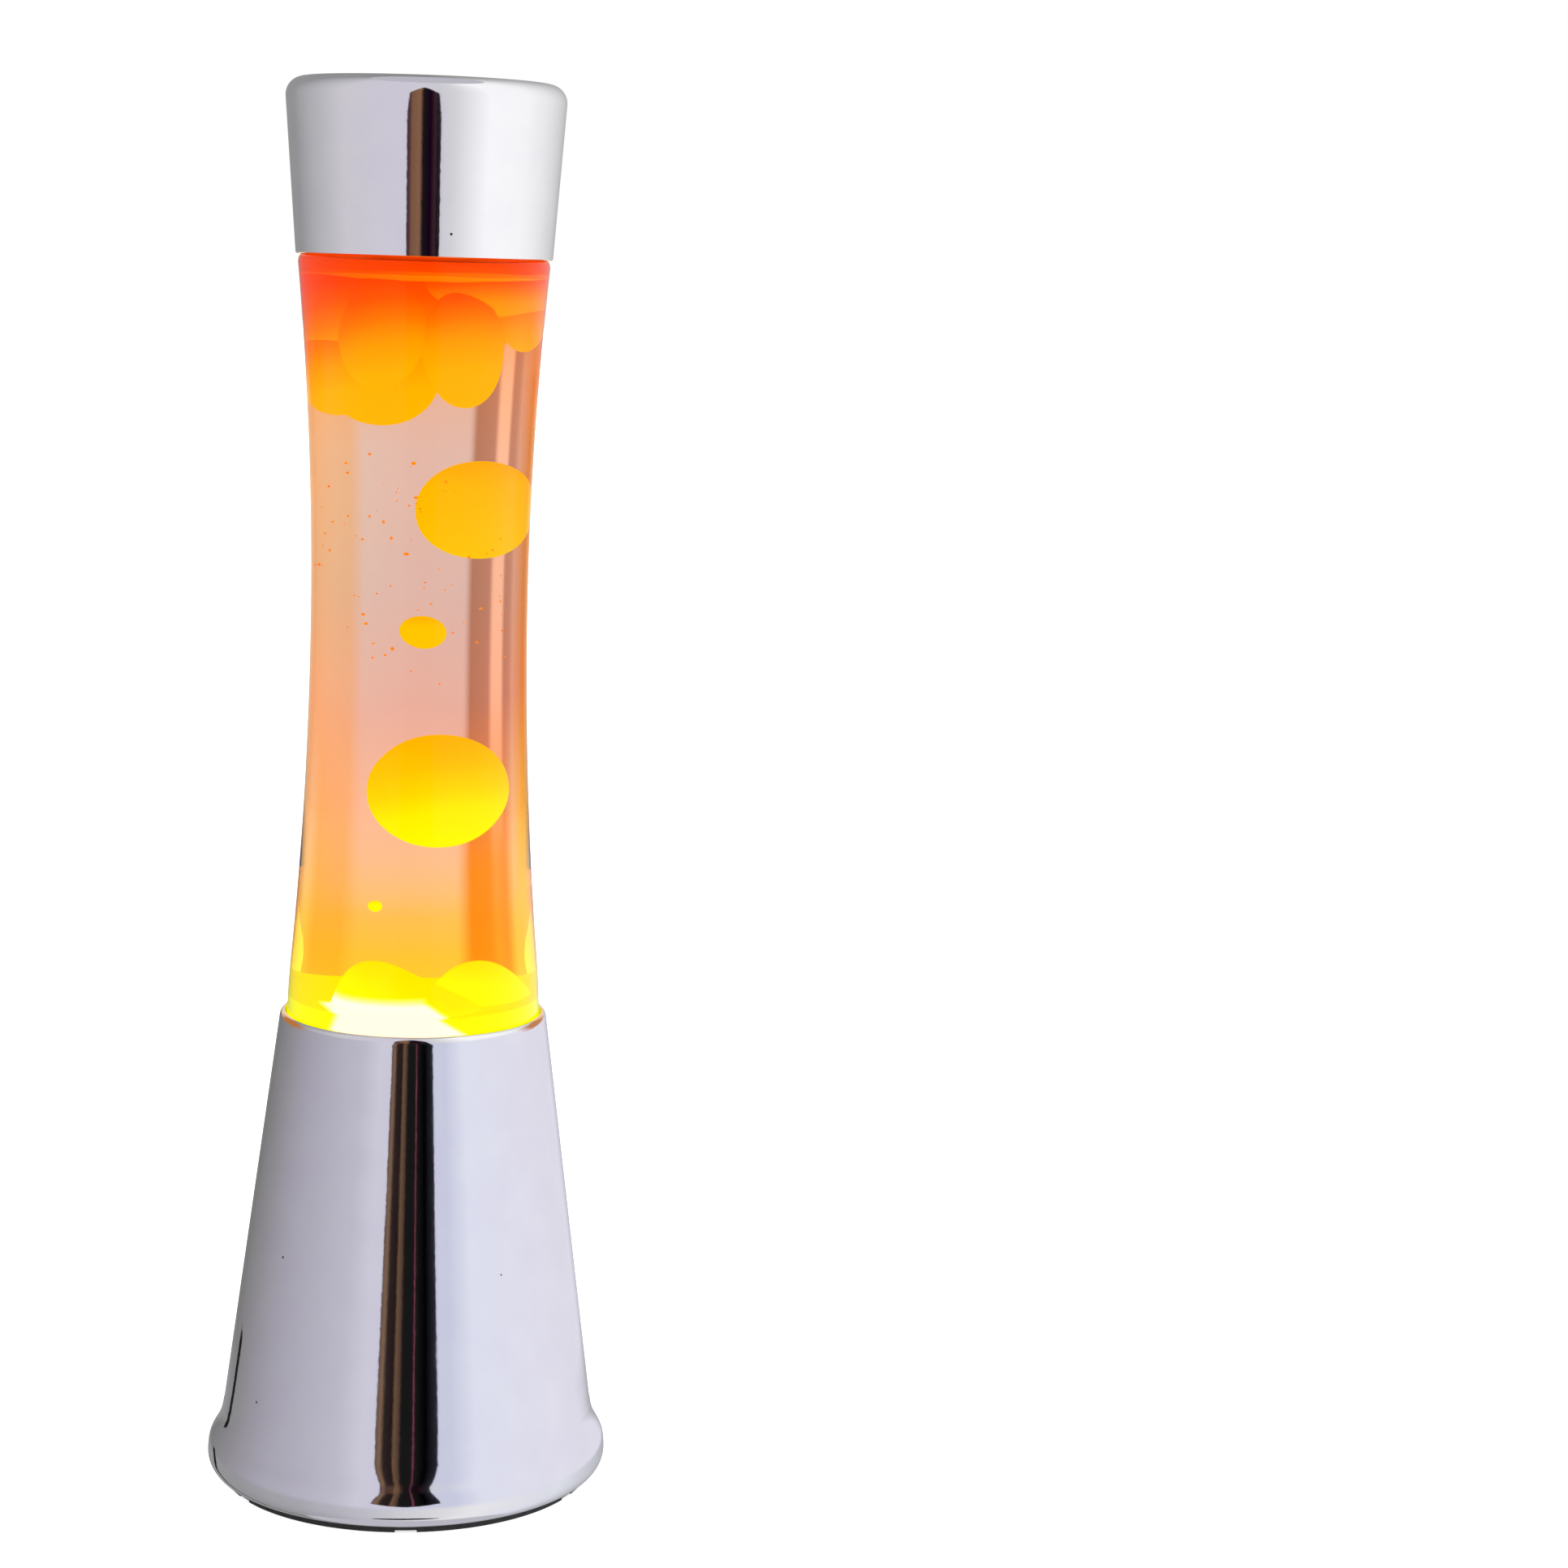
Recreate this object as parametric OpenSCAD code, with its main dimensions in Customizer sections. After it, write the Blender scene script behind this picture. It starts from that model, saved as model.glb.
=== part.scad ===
// Lava lamp: a chromed base with a reflector bulb, an hourglass bottle of
// clear liquid and wax, and a chromed cap.
// Millimetres, +Z up. The origin is the middle of the foot, on the table.
// The front faces -Y and the cord comes in at the back, +Y.

/* [Lamp] */
// Height of the whole lamp
lamp_h = 395; // [392:1:400]
// Diameter over the bead of the foot
foot_d = 114; // [113:0.5:116]
// Thickness of the sheet metal of the base and the cap
sheet = 1; // [0.8:0.1:1.1]

/* [Base] */
// Height of the rolled lip above the table
lip_z = 136; // [135:0.5:137]
// Diameter of the opening in the lip
lip_bore_d = 72.2; // [72:0.1:72.6]
// Diameter of the cone where it reaches the lip
cone_top_d = 74.9; // [74.6:0.1:75.6]
// Height at which the cone ends on the foot bead
bead_h = 17.3; // [16:0.1:18]
// Height of the rubber ring under the foot
foot_ring_h = 1.5; // [1.4:0.1:2]

/* [Bottle] */
// Height of the bottle's underside above the table
bottle_z = 112; // [111.5:0.5:112.5]
// Diameter of the bottle's waist
waist_d = 60.2; // [60:0.1:61]
// Height of the waist above the table
waist_z = 252; // [248:1:256]
// Wall thickness of the bottle
glass_t = 2.4; // [2:0.1:2.6]

/* [Cap] */
// Height of the cap
cap_h = 47.6; // [46:0.1:48]
// Diameter of the cap's open end
cap_low_d = 70.4; // [70.2:0.1:71]
// Diameter of the cap just under its top corner
cap_top_d = 76.6; // [76:0.1:77]
// Radius of the cap's top corner
cap_corner = 5; // [4:0.5:6]

/* [Bulb] */
// Height of the bulb's tip contact above the table
bulb_z = 31; // [30.5:0.1:31]
// Length of the bulb over all
bulb_l = 67; // [64:0.5:68]
// Diameter of the bulb's reflector
bulb_d = 39; // [37:0.5:40]

/* [Wax] */
// Radius of the upper free blob
upper_r = 13.9; // [12:0.1:14]
// Radius of the middle free blob
middle_r = 4.8; // [4:0.1:5]
// Radius of the lower free blob
lower_r = 16; // [14:0.1:16.2]
// Radius of the droplet
droplet_r = 1.6; // [1.2:0.1:2]

/* [Hidden] */
$fn = 64;
eps = 0.05; // gap between pieces that rest on each other in one body
gap = 0.3; // gap between pieces that move apart

// base
foot_r = foot_d / 2;
lip_bore_r = lip_bore_d / 2;
cone_top_r = cone_top_d / 2;
cone_low_r = foot_r - 3.95; // the bead stands out this far from the cone
slope = (cone_low_r - cone_top_r) / (lip_z - bead_h);
cone_tilt = atan(slope);
wall = sheet / cos(cone_tilt); // sheet measured level
bead_z = 7; // height of the bead's widest line
hem_z = foot_ring_h + eps;
hem_out = foot_r - 4.9;
hem_in = hem_out - 1.5;
lip_h = 2.6; // height of the lip's rounding
roll_z = lip_z - 8; // lower edge of the metal rolled into the opening

// bottom plate and what stands on it
plate_t = 2;
plate_z = hem_z + 0.15;
plate_top = plate_z + plate_t;
plate_r = hem_in - gap;
m3_r = 1.45;
m3_hole_r = 1.7;
head_r = 2.8;
head_h = 1.4;
strap_t = 1.2;
plate_screw_r = 44.5; // circle of the plate's screws
plate_screw_angles = [45, 135, 225, 315];
leg_x = 14; // inner face of the holder bracket's legs
foot_x = 20.5; // screw in each foot of the holder bracket
bracket_w = 16;
platform_z = 18;

// lampholder
nipple_r = 5;
holder_z = platform_z + strap_t + eps;
holder_top = 50.5;
socket_r = 8.7;
socket_z = 27.5;
sleeve_in = 7.2;
contact_screw_y = 10.6;
contact_screw_r = 1.25;

// terminal block, cord clamp and leads
lead_x = 5;
lead_z = 8;
lead_r = 1.1;
lead_bend = 3;
lead_y = 12.5; // where the leads rise to the holder
block_y = 20;
block_l = 13;
block_h = 10;
clamp_y = 38;
clamp_w = 5;
clamp_x = 7;

// cable gland
gland_z = 27;
gland_bore_r = 2.75;
gland_hole_r = 4.7;

// seat of the bottle
seat_z = bottle_z - gap - 1.2; // top of the ledge, under the gasket
seat_low = seat_z - 6.5;
seat_top = bottle_z + 12;
seat_bore_r = 27;
seat_t = 1.6;

// bottle
waist_r = waist_d / 2;
bulge_low = 0.00045; // how fast the radius grows with height from the waist, squared
bulge_high = 0.000508;
foot_arc = 200; // radius of the arc that brings the bottle's side upright
foot_arc_z = 150;
bottle_corner = 7;
shoulder_z = lamp_h - cap_h + 1.1;
shoulder_corner = 3.2;
shoulder_in = 24; // radius at which the inside starts to rise to the neck
neck_in = 13; // and where it meets the neck
neck_rise = 5;
neck_r = 12.6;
neck_z = 362;
finish_z = 383;
push_up = 5; // height of the hollow under the bottle
neck_bore_r = 9.2;
coil_ring_r = 23;
coil_r = 2.6;
pool_z = 137.5;
fill_z = 350; // level of the liquid, in the shoulder
film = 0.15; // gap kept between liquid or wax and glass
// spheres of wax: [x, y, z, radius]
top_wax = [[-11, -9, 327, 13.5], [9.5, -8, 321.5, 13], [-9.5, 4, 312.5, 11], [-17, 0, 312, 9], [18.5, 8, 330, 6]];
ceiling_r = 30; // disc of wax that fills the top of the bottle
ceiling_z = 333;
ceiling_top = 344;
mounds = [[-6, -4, 135.5, 15], [13, 4, 139.5, 9]];
upper_at = [12.4, 0, 279];
middle_at = [0.8, 0, 244.5];
lower_at = [4.6, 0, 199.5];
droplet_at = [-8.6, -2, 166.7];

// cap
cap_z = lamp_h - cap_h;
cap_slope = (cap_top_d - cap_low_d) / 2 / (cap_h - cap_corner);

chrome = "Gainsboro";
steel = "Silver";
black = "DimGray";
brass = "Goldenrod";
wax = "Orange";

// Points of an arc about [x, z], from angle a to angle b
function arc(x, z, r, a, b, n = 8) =
    [for (i = [0 : n]) let (t = a + (b - a) * i / n) [x + r * cos(t), z + r * sin(t)]];
// Radius of the circle that falls back by a over a height b
function arc_r(a, b) = (a * a + b * b) / (2 * a);
// Outer radius of the base's cone at a height
function cone_r(z) = cone_top_r + (lip_z - z) * slope;
// Slope of the bottle's side where the arc of its foot begins
function foot_slope() = 2 * bulge_low * (waist_z - foot_arc_z);
// Height at which that arc comes upright
function foot_arc_low() = foot_arc_z - foot_arc * sin(atan(foot_slope()));
// Radius of the bottle below that arc, its widest
function bottle_max_r() =
    waist_r + bulge_low * pow(waist_z - foot_arc_z, 2) + foot_arc * (1 - cos(atan(foot_slope())));
// Outer radius of the bottle's side at a height
function bottle_r(z) =
    z > waist_z ? waist_r + bulge_high * pow(z - waist_z, 2)
    : z > foot_arc_z ? waist_r + bulge_low * pow(waist_z - z, 2)
    : z > foot_arc_low() ? bottle_max_r() - pow(z - foot_arc_low(), 2) / (2 * foot_arc)
    : bottle_max_r();
// Outer radius of the cap at a height
function cap_r(z) = cap_low_d / 2 + (z - cap_z) * cap_slope;

module spin(points) {
    rotate_extrude($fn = 96) polygon(points);
}

module rod(r, z0, z1) {
    translate([0, 0, z0]) cylinder(r = r, h = z1 - z0);
}

// Pan-head screw with its head below, its shank running up to a height
module screw_up(top) {
    rod(m3_r, plate_z, top);
    rod(head_r, plate_z - head_h, plate_z);
}

module at_gland() {
    translate([0, cone_r(gland_z), gland_z]) rotate([-(90 - cone_tilt), 0, 0]) children();
}

module base_shell() {
    low_r = arc_r(foot_r - hem_out, bead_z - hem_z);
    high_r = arc_r(foot_r - cone_low_r, bead_h - bead_z);
    low_a = -acos((hem_out - foot_r + low_r) / low_r);
    high_a = asin((bead_h - bead_z) / high_r);
    lip_x = cone_r(lip_z - lip_h) - (lip_bore_d / 2 + 0.15);
    color(chrome) difference() {
        spin(concat(
            [[hem_in, hem_z]],
            arc(foot_r - low_r, bead_z, low_r, low_a, 0, 10),
            arc(foot_r - high_r, bead_z, high_r, high_a / 10, high_a, 9),
            [for (t = [0 : 15 : 90])
                [lip_bore_r + 0.15 + lip_x * cos(t), lip_z - lip_h + lip_h * sin(t)]],
            [[lip_bore_r, lip_z - 0.3], [lip_bore_r, roll_z], [lip_bore_r + 0.9, roll_z],
             [lip_bore_r + 0.9, lip_z - 4.5], [cone_r(lip_z - 5) - wall, lip_z - 5]],
            arc(foot_r - high_r, bead_z, high_r - sheet, high_a + 1.5, high_a / 10, 9),
            arc(foot_r - low_r, bead_z, low_r - sheet, 0, -75, 8),
            [[hem_in, hem_z + 1.1]]
        ));
        at_gland() translate([0, 0, -3 * sheet]) cylinder(r = gland_hole_r, h = 6 * sheet);
    }
}

module globe_seat() {
    out = wall + 0.25; // wall of the cone and a hair of room
    color(black) spin([
        [cone_r(seat_low) - out, seat_low], [cone_r(seat_top) - out, seat_top],
        [cone_r(seat_top) - out - seat_t, seat_top], [cone_r(seat_z) - out - seat_t - 1.4, seat_z],
        [seat_bore_r, seat_z], [seat_bore_r, seat_z - 4], [seat_bore_r + seat_t, seat_z - 4],
        [seat_bore_r + seat_t, seat_z - 2], [cone_r(seat_z) - out - seat_t, seat_z - 2],
        [cone_r(seat_low) - out - seat_t, seat_low]
    ]);
}

module seat_gasket() {
    color("WhiteSmoke") spin([
        [seat_bore_r + 0.8, seat_z + eps], [34.4, seat_z + eps], [34.4, bottle_z - gap - 0.4],
        [34, bottle_z - gap], [seat_bore_r + 1.2, bottle_z - gap],
        [seat_bore_r + 0.8, bottle_z - gap - 0.4]
    ]);
}

module bottom_plate() {
    color(black) difference() {
        rod(plate_r, plate_z, plate_top);
        for (a = plate_screw_angles) rotate(a) translate([plate_screw_r, 0, 0]) rod(m3_hole_r, 0, 9);
        for (s = [-1, 1]) {
            translate([s * foot_x, 0, 0]) rod(m3_hole_r, 0, 9);
            translate([s * clamp_x, clamp_y + clamp_w / 2, 0]) rod(m3_hole_r, 0, 9);
        }
        translate([0, block_y + block_l / 2, 0]) rod(m3_hole_r, 0, 9);
        for (a = [120 : 15 : 420]) rotate(a) translate([28, -1.25, 0]) cube([10, 2.5, 9]);
    }
}

module foot_ring() {
    color(black) difference() {
        spin([
            [hem_out - 4.5, 0], [hem_out + 0.1, 0], [hem_out + 0.4, 0.3],
            [hem_out + 0.4, foot_ring_h], [hem_out - 4.5, foot_ring_h]
        ]);
        for (a = [30 : 60 : 330]) rotate(a) translate([hem_out - 6, -3, -1]) cube([8, 6, 1.7]);
    }
}

module plate_brackets() {
    leg_r = cone_r(32) - wall - 0.5;
    z0 = plate_top + eps;
    color(steel) for (a = plate_screw_angles) rotate(a) difference() {
        union() {
            translate([plate_screw_r - 4, -5, z0]) cube([leg_r - plate_screw_r + 4, 10, strap_t]);
            translate([leg_r - strap_t, -5, z0]) cube([strap_t, 10, 32 - z0]);
        }
        translate([plate_screw_r, 0, 0]) rod(m3_r + eps, 0, 9);
    }
}

module plate_screws() {
    color(steel) for (a = plate_screw_angles) rotate(a) translate([plate_screw_r, 0, 0]) screw_up(8.5);
}

module holder_bracket() {
    z0 = plate_top + eps;
    out_x = leg_x + strap_t;
    color(steel) difference() {
        union() {
            for (s = [0, 1]) mirror([s, 0, 0]) {
                translate([leg_x, -bracket_w / 2, z0]) cube([12, bracket_w, strap_t]);
                translate([leg_x, -bracket_w / 2, z0])
                    cube([strap_t, bracket_w, platform_z + strap_t - z0]);
            }
            translate([-out_x, -bracket_w / 2, platform_z]) cube([2 * out_x, bracket_w, strap_t]);
        }
        for (s = [-1, 1]) translate([s * foot_x, 0, 0]) rod(m3_hole_r, 0, 9);
        rod(nipple_r + 0.15, platform_z - 1, platform_z + 3);
    }
}

module bracket_screws() {
    color(steel) for (s = [-1, 1]) translate([s * foot_x, 0, 0]) screw_up(9);
}

module bracket_nuts() {
    z0 = plate_top + strap_t + 2 * eps;
    color(steel) for (s = [-1, 1]) translate([s * foot_x, 0, 0]) difference() {
        translate([0, 0, z0]) cylinder(r = 3.2, h = 2.4, $fn = 6);
        rod(m3_r + eps, 0, 12);
    }
}

module holder_nipple() {
    color(brass) difference() {
        rod(nipple_r, 13, socket_z - 0.7);
        rod(3.6, 12, socket_z);
    }
}

module holder_nut() {
    color(brass) difference() {
        translate([0, 0, platform_z - 3.2]) cylinder(r = 8, h = 3.1, $fn = 6);
        rod(nipple_r + eps, 12, 20);
    }
}

module holder_body() {
    color("SlateGray") difference() {
        spin(concat(
            [[nipple_r + eps, holder_z]],
            arc(12, holder_z + 3, 3, -90, 0, 4),
            [[15, 30], [14, 31], [12.6, 31], [12.6, holder_top - 0.8], [11.8, holder_top],
             [socket_r, holder_top], [socket_r, socket_z], [nipple_r + eps, socket_z]]
        ));
        for (s = [-1, 1]) translate([0, s * contact_screw_y, 0])
            rod(contact_screw_r + 0.1, holder_z - 1, socket_z - 1);
    }
}

module contact_sleeve() {
    pitch = 2.82;
    color(brass) spin(concat(
        [[sleeve_in, 33.5]],
        [for (i = [0 : 9]) [sleeve_in + 0.6 + 0.5 * (i % 2), 33.5 + i * pitch / 2]],
        [[sleeve_in + 0.6, 48.5], [sleeve_in, 48.5]]
    ));
}

module centre_contact() {
    t = 0.5;
    tongue = [[-6, 0], [4, 0], [2, 2.7], [-1.5, 2.7], [-1.5, 2.7 - t], [1.6, 2.7 - t], [3.2, t], [-6, t]];
    color(brass) translate([0, 2, socket_z + eps]) rotate([90, 0, 0])
        linear_extrude(height = 4) polygon(tongue);
}

module contact_screws() {
    color(steel) for (s = [-1, 1]) translate([0, s * contact_screw_y, 0])
        rod(contact_screw_r, holder_z + gap, socket_z - 1.2);
}

module terminal_block() {
    z0 = plate_top + eps;
    mid = block_y + block_l / 2;
    color("WhiteSmoke") difference() {
        translate([-9, block_y, z0]) cube([18, block_l, block_h]);
        for (s = [-1, 1]) {
            translate([s * lead_x, block_y - 1, lead_z]) rotate([-90, 0, 0])
                cylinder(r = 1.6, h = block_l + 2);
            for (y = [-3.5, 3.5]) translate([s * lead_x, mid + y, 0]) rod(1.8, lead_z, 20);
        }
        translate([0, mid, 0]) {
            rod(1.6, 0, 20);
            rod(2.5, z0 + 6, 20);
        }
    }
}

module terminal_screws() {
    mid = block_y + block_l / 2;
    color(brass) for (s = [-1, 1], y = [-3.5, 3.5])
        translate([s * lead_x, mid + y, 0]) rod(1.5, lead_z + lead_r + eps, plate_top + block_h - 0.6);
}

module block_screw() {
    z1 = plate_top + eps + 6;
    color(steel) translate([0, block_y + block_l / 2, 0]) {
        rod(m3_r, plate_z + 0.2, z1);
        rod(2.3, z1 + eps, z1 + 1.6);
        rod(m3_r, z1 - 0.5, z1 + 1);
    }
}

module lead(x) {
    top = holder_z - eps;
    translate([x, 0, 0]) {
        translate([0, lead_y + lead_bend, lead_z]) rotate([-90, 0, 0])
            cylinder(r = lead_r, h = block_y + 4 - lead_y - lead_bend, $fn = 24);
        translate([0, lead_y + lead_bend, lead_z + lead_bend]) rotate([0, -90, 0]) rotate([0, 0, 180])
            rotate_extrude(angle = 90, $fn = 48) translate([lead_bend, 0]) circle(r = lead_r, $fn = 24);
        translate([0, lead_y, lead_z + lead_bend])
            cylinder(r = lead_r, h = top - lead_z - lead_bend, $fn = 24);
    }
}

module live_wire() {
    color("Sienna") lead(lead_x);
}

module neutral_wire() {
    color("SteelBlue") lead(-lead_x);
}

module cord_clamp() {
    z0 = plate_top + eps;
    color(black) difference() {
        translate([-10, clamp_y, z0]) cube([20, clamp_w, 7]);
        translate([0, clamp_y - 1, z0 + 2.6]) rotate([-90, 0, 0]) cylinder(r = 2.9, h = clamp_w + 2);
        translate([-2.9, clamp_y - 1, z0 - 1]) cube([5.8, clamp_w + 2, 3.6]);
        for (s = [-1, 1]) translate([s * clamp_x, clamp_y + clamp_w / 2, 0]) rod(m3_hole_r, 0, 20);
    }
}

module clamp_screws() {
    z1 = plate_top + eps + 7;
    color(steel) for (s = [-1, 1]) translate([s * clamp_x, clamp_y + clamp_w / 2, 0]) {
        rod(m3_r, plate_z + 0.2, z1 + 0.5);
        rod(2.4, z1 + eps, z1 + 1.6);
    }
}

module cable_gland() {
    color(black) at_gland() spin([
        [gland_bore_r, -6], [4.2, -6], [4.4, -3.2], [5.7, -3], [5.7, -1.5 * sheet],
        [gland_hole_r - 0.2, -1.5 * sheet], [gland_hole_r - 0.2, 0.15], [6.2, 0.15], [6.2, 1.6],
        [5.2, 2], [3.8, 4.2], [gland_bore_r, 4.2]
    ]);
}

// Outline of the bulb's envelope, set in by a given distance
function envelope(inset) = let (
    low = bulb_z + 21.05, r = bulb_d / 2, wide = bulb_z + bulb_l - 14
) concat(
    [[7.4 - inset, low], [7.5 - inset, low + 4]],
    [for (t = [0.125 : 0.125 : 1]) [7.5 + (r - 7.5) * (1 - cos(180 * t)) / 2 - inset,
        low + 4 + (wide - low - 4) * t]],
    [for (t = [15 : 15 : 75]) [(r - inset) * cos(t), wide + (14 - inset) * sin(t)]]
);

module bulb_glass() {
    skin = 0.8;
    top = bulb_z + bulb_l;
    inside = envelope(skin);
    color("LightCyan") spin(concat(
        envelope(0), [[0, top], [0, top - skin]],
        [for (i = [len(inside) - 1 : -1 : 0]) inside[i]]
    ));
}

module bulb_cap() {
    pitch = 2.82;
    z = bulb_z + 5.05;
    turns = [for (i = [0 : 9]) [6.4 + 0.5 * (i % 2), z + 0.6 + i * pitch / 2]];
    color(steel) spin(concat(
        [[5.9, z]], turns,
        [[6.6, bulb_z + 19], [7.9, bulb_z + 20], [7.9, bulb_z + 21], [6.4, bulb_z + 21]],
        [for (i = [9 : -1 : 1]) [turns[i][0] - 0.6, turns[i][1]]], [[5.7, z + 0.5], [5.6, z]]
    ));
}

module bulb_insulator() {
    color("Black") spin([
        [0, bulb_z + 2.05], [2.6, bulb_z + 2.05], [5.5, bulb_z + 5], [5.5, bulb_z + 6], [0, bulb_z + 6]
    ]);
}

module bulb_tip() {
    color("Silver") spin([
        [0, bulb_z], [1.4, bulb_z + 0.15], [2.3, bulb_z + 1], [2.3, bulb_z + 2], [0, bulb_z + 2]
    ]);
}

module bulb_stem() {
    color("LightCyan") spin([
        [0, bulb_z + 9], [5, bulb_z + 9], [3, bulb_z + 17], [2.6, bulb_z + 33], [0, bulb_z + 34]
    ]);
}

module bulb_supports() {
    color(steel) for (s = [-1, 1]) translate([s * 1.4, 0, bulb_z + 34.05]) rotate([0, s * 14, 0])
        cylinder(r = 0.35, h = 12, $fn = 16);
}

module bulb_filament() {
    color("Gold") translate([0, 0, bulb_z + 46.8]) rotate([0, 90, 0])
        cylinder(r = 0.55, h = 9, center = true, $fn = 16);
}

// Heights at which the bottle's side is sampled
function side_heights(low, high, n = 24) = [for (i = [0 : n]) low + (high - low) * i / n];

module globe_glass() {
    side_low = bottle_z + bottle_corner;
    side_high = shoulder_z - shoulder_corner;
    max_r = bottle_max_r();
    dish = max_r - bottle_corner - 4; // edge of the hollow underneath
    dish_r = arc_r(push_up, dish);
    dish_a = asin(dish / dish_r);
    floor_z = bottle_z + glass_t + 0.4;
    top_r = bottle_r(side_high);
    color("LightCyan") spin(concat(
        arc(0, bottle_z + push_up - dish_r, dish_r, 90, 90 - dish_a, 6),
        arc(max_r - bottle_corner, side_low, bottle_corner, -90, 0, 7),
        [for (z = side_heights(foot_arc_low(), side_high)) [bottle_r(z), z]],
        arc(top_r - shoulder_corner, side_high, shoulder_corner, 15, 90, 5),
        [[25, shoulder_z], [15.5, shoulder_z + 7], [neck_r + 0.6, neck_z - 4], [neck_r, neck_z],
         [neck_r, finish_z - 8], [neck_r + 0.8, finish_z - 7], [neck_r + 0.8, finish_z - 1.2],
         [neck_r, finish_z], [neck_bore_r, finish_z], [neck_bore_r, neck_z - 2], [neck_in, shoulder_z + neck_rise],
         [shoulder_in, shoulder_z - glass_t]],
        arc(top_r - shoulder_corner, side_high, shoulder_corner - glass_t, 90, 15, 3),
        [for (z = side_heights(side_high, foot_arc_low())) [bottle_r(z) - glass_t, z]],
        arc(max_r - bottle_corner, side_low, bottle_corner - glass_t, 0, -80, 5),
        arc(0, floor_z + push_up - dish_r, dish_r, 90 - dish_a, 90, 6)
    ));
}

module wax_balls(list, grow) {
    for (b = list) translate([b[0], b[1], b[2]]) sphere(r = b[3] + grow);
}

module globe_liquid() {
    in = glass_t + film;
    side_high = shoulder_z - shoulder_corner;
    under = shoulder_z - glass_t - film; // just under the shoulder's inside
    fill_r = shoulder_in - (fill_z - under) * (shoulder_in - neck_in) / (glass_t + neck_rise) - film;
    color("MistyRose") difference() {
        spin(concat(
            [[0, pool_z + film]],
            [for (z = side_heights(pool_z + film, side_high - 1)) [bottle_r(z) - in, z]],
            [[ceiling_r, under - 0.6], [shoulder_in, under], [fill_r, fill_z], [0, fill_z]]
        ));
        wax_balls(mounds, film);
        wax_balls(top_wax, film);
        rod(ceiling_r + film, ceiling_z - film, ceiling_top + film);
        translate(upper_at) sphere(r = upper_r + gap);
        translate(middle_at) sphere(r = middle_r + gap);
        translate(lower_at) sphere(r = lower_r + gap);
        translate(droplet_at) sphere(r = droplet_r + gap);
    }
}

module wax_pool() {
    max_r = bottle_max_r();
    dish = max_r - bottle_corner - 4;
    dish_r = arc_r(push_up, dish);
    floor_z = bottle_z + glass_t + 0.4 + film;
    dish_a = asin(dish / dish_r);
    color(wax) difference() {
        union() {
            spin(concat(
                arc(0, floor_z + push_up - dish_r, dish_r, 90, 90 - dish_a, 6),
                arc(max_r - bottle_corner, bottle_z + bottle_corner, bottle_corner - glass_t - film, -80, 0, 5),
                [[max_r - glass_t - film, pool_z], [0, pool_z]]
            ));
            wax_balls(mounds, 0);
        }
        spin_coil(film);
    }
}

module wax_top() {
    color(wax) union() {
        wax_balls(top_wax, 0);
        rod(ceiling_r, ceiling_z, ceiling_top);
    }
}

module spin_coil(grow) {
    translate([0, 0, bottle_z + 7]) rotate_extrude($fn = 96)
        translate([coil_ring_r, 0]) circle(r = coil_r + grow, $fn = 24);
}

module heat_coil() {
    color(steel) spin_coil(0);
}

module crown_cap() {
    flutes = 21;
    low = finish_z - 5.5;
    color(brass) difference() {
        union() {
            rod(14.6, low, finish_z + 1.4);
            for (i = [0 : flutes - 1]) rotate(360 * i / flutes) translate([14.6, 0, 0])
                rod(1, low, finish_z);
        }
        rod(neck_r + 1, low - 1, finish_z + 0.8);
    }
}

module crown_liner() {
    color("WhiteSmoke") rod(neck_r + 0.6, finish_z + eps, finish_z + 0.75);
}

module cap_shell() {
    top_r = cap_r(lamp_h - cap_corner);
    color(chrome) spin(concat(
        [[cap_low_d / 2 - sheet, cap_z + 0.2], [cap_low_d / 2 - sheet / 2, cap_z], [cap_low_d / 2, cap_z + 0.3]],
        arc(top_r - cap_corner, lamp_h - cap_corner, cap_corner, 0, 90, 9),
        [[0, lamp_h], [0, lamp_h - sheet]],
        arc(top_r - cap_corner, lamp_h - cap_corner, cap_corner - sheet, 90, 0, 7)
    ));
}

module cap_pad() {
    low = shoulder_z + gap;
    color(black) spin([
        [26, low], [cap_r(low) - sheet - 0.2, low], [cap_r(low + 3) - sheet - 0.2, low + 3], [26, low + 3]
    ]);
}

module wax_blob_upper() {
    color(wax) translate(upper_at) sphere(r = upper_r);
}

module wax_blob_middle() {
    color(wax) translate(middle_at) sphere(r = middle_r);
}

module wax_blob_lower() {
    color(wax) translate(lower_at) sphere(r = lower_r);
}

module wax_droplet() {
    color(wax) translate(droplet_at) sphere(r = droplet_r);
}

base_shell();
globe_seat();
seat_gasket();
bottom_plate();
foot_ring();
plate_brackets();
plate_screws();
holder_bracket();
bracket_screws();
bracket_nuts();
holder_nipple();
holder_nut();
holder_body();
contact_sleeve();
centre_contact();
contact_screws();
terminal_block();
terminal_screws();
block_screw();
live_wire();
neutral_wire();
cord_clamp();
clamp_screws();
cable_gland();
bulb_glass();
bulb_cap();
bulb_insulator();
bulb_tip();
bulb_stem();
bulb_supports();
bulb_filament();
globe_glass();
globe_liquid();
wax_pool();
wax_top();
heat_coil();
crown_cap();
crown_liner();
cap_shell();
cap_pad();
wax_blob_upper();
wax_blob_middle();
wax_blob_lower();
wax_droplet();
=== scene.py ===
import math
import random

import bpy
from mathutils import Matrix, Vector


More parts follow.
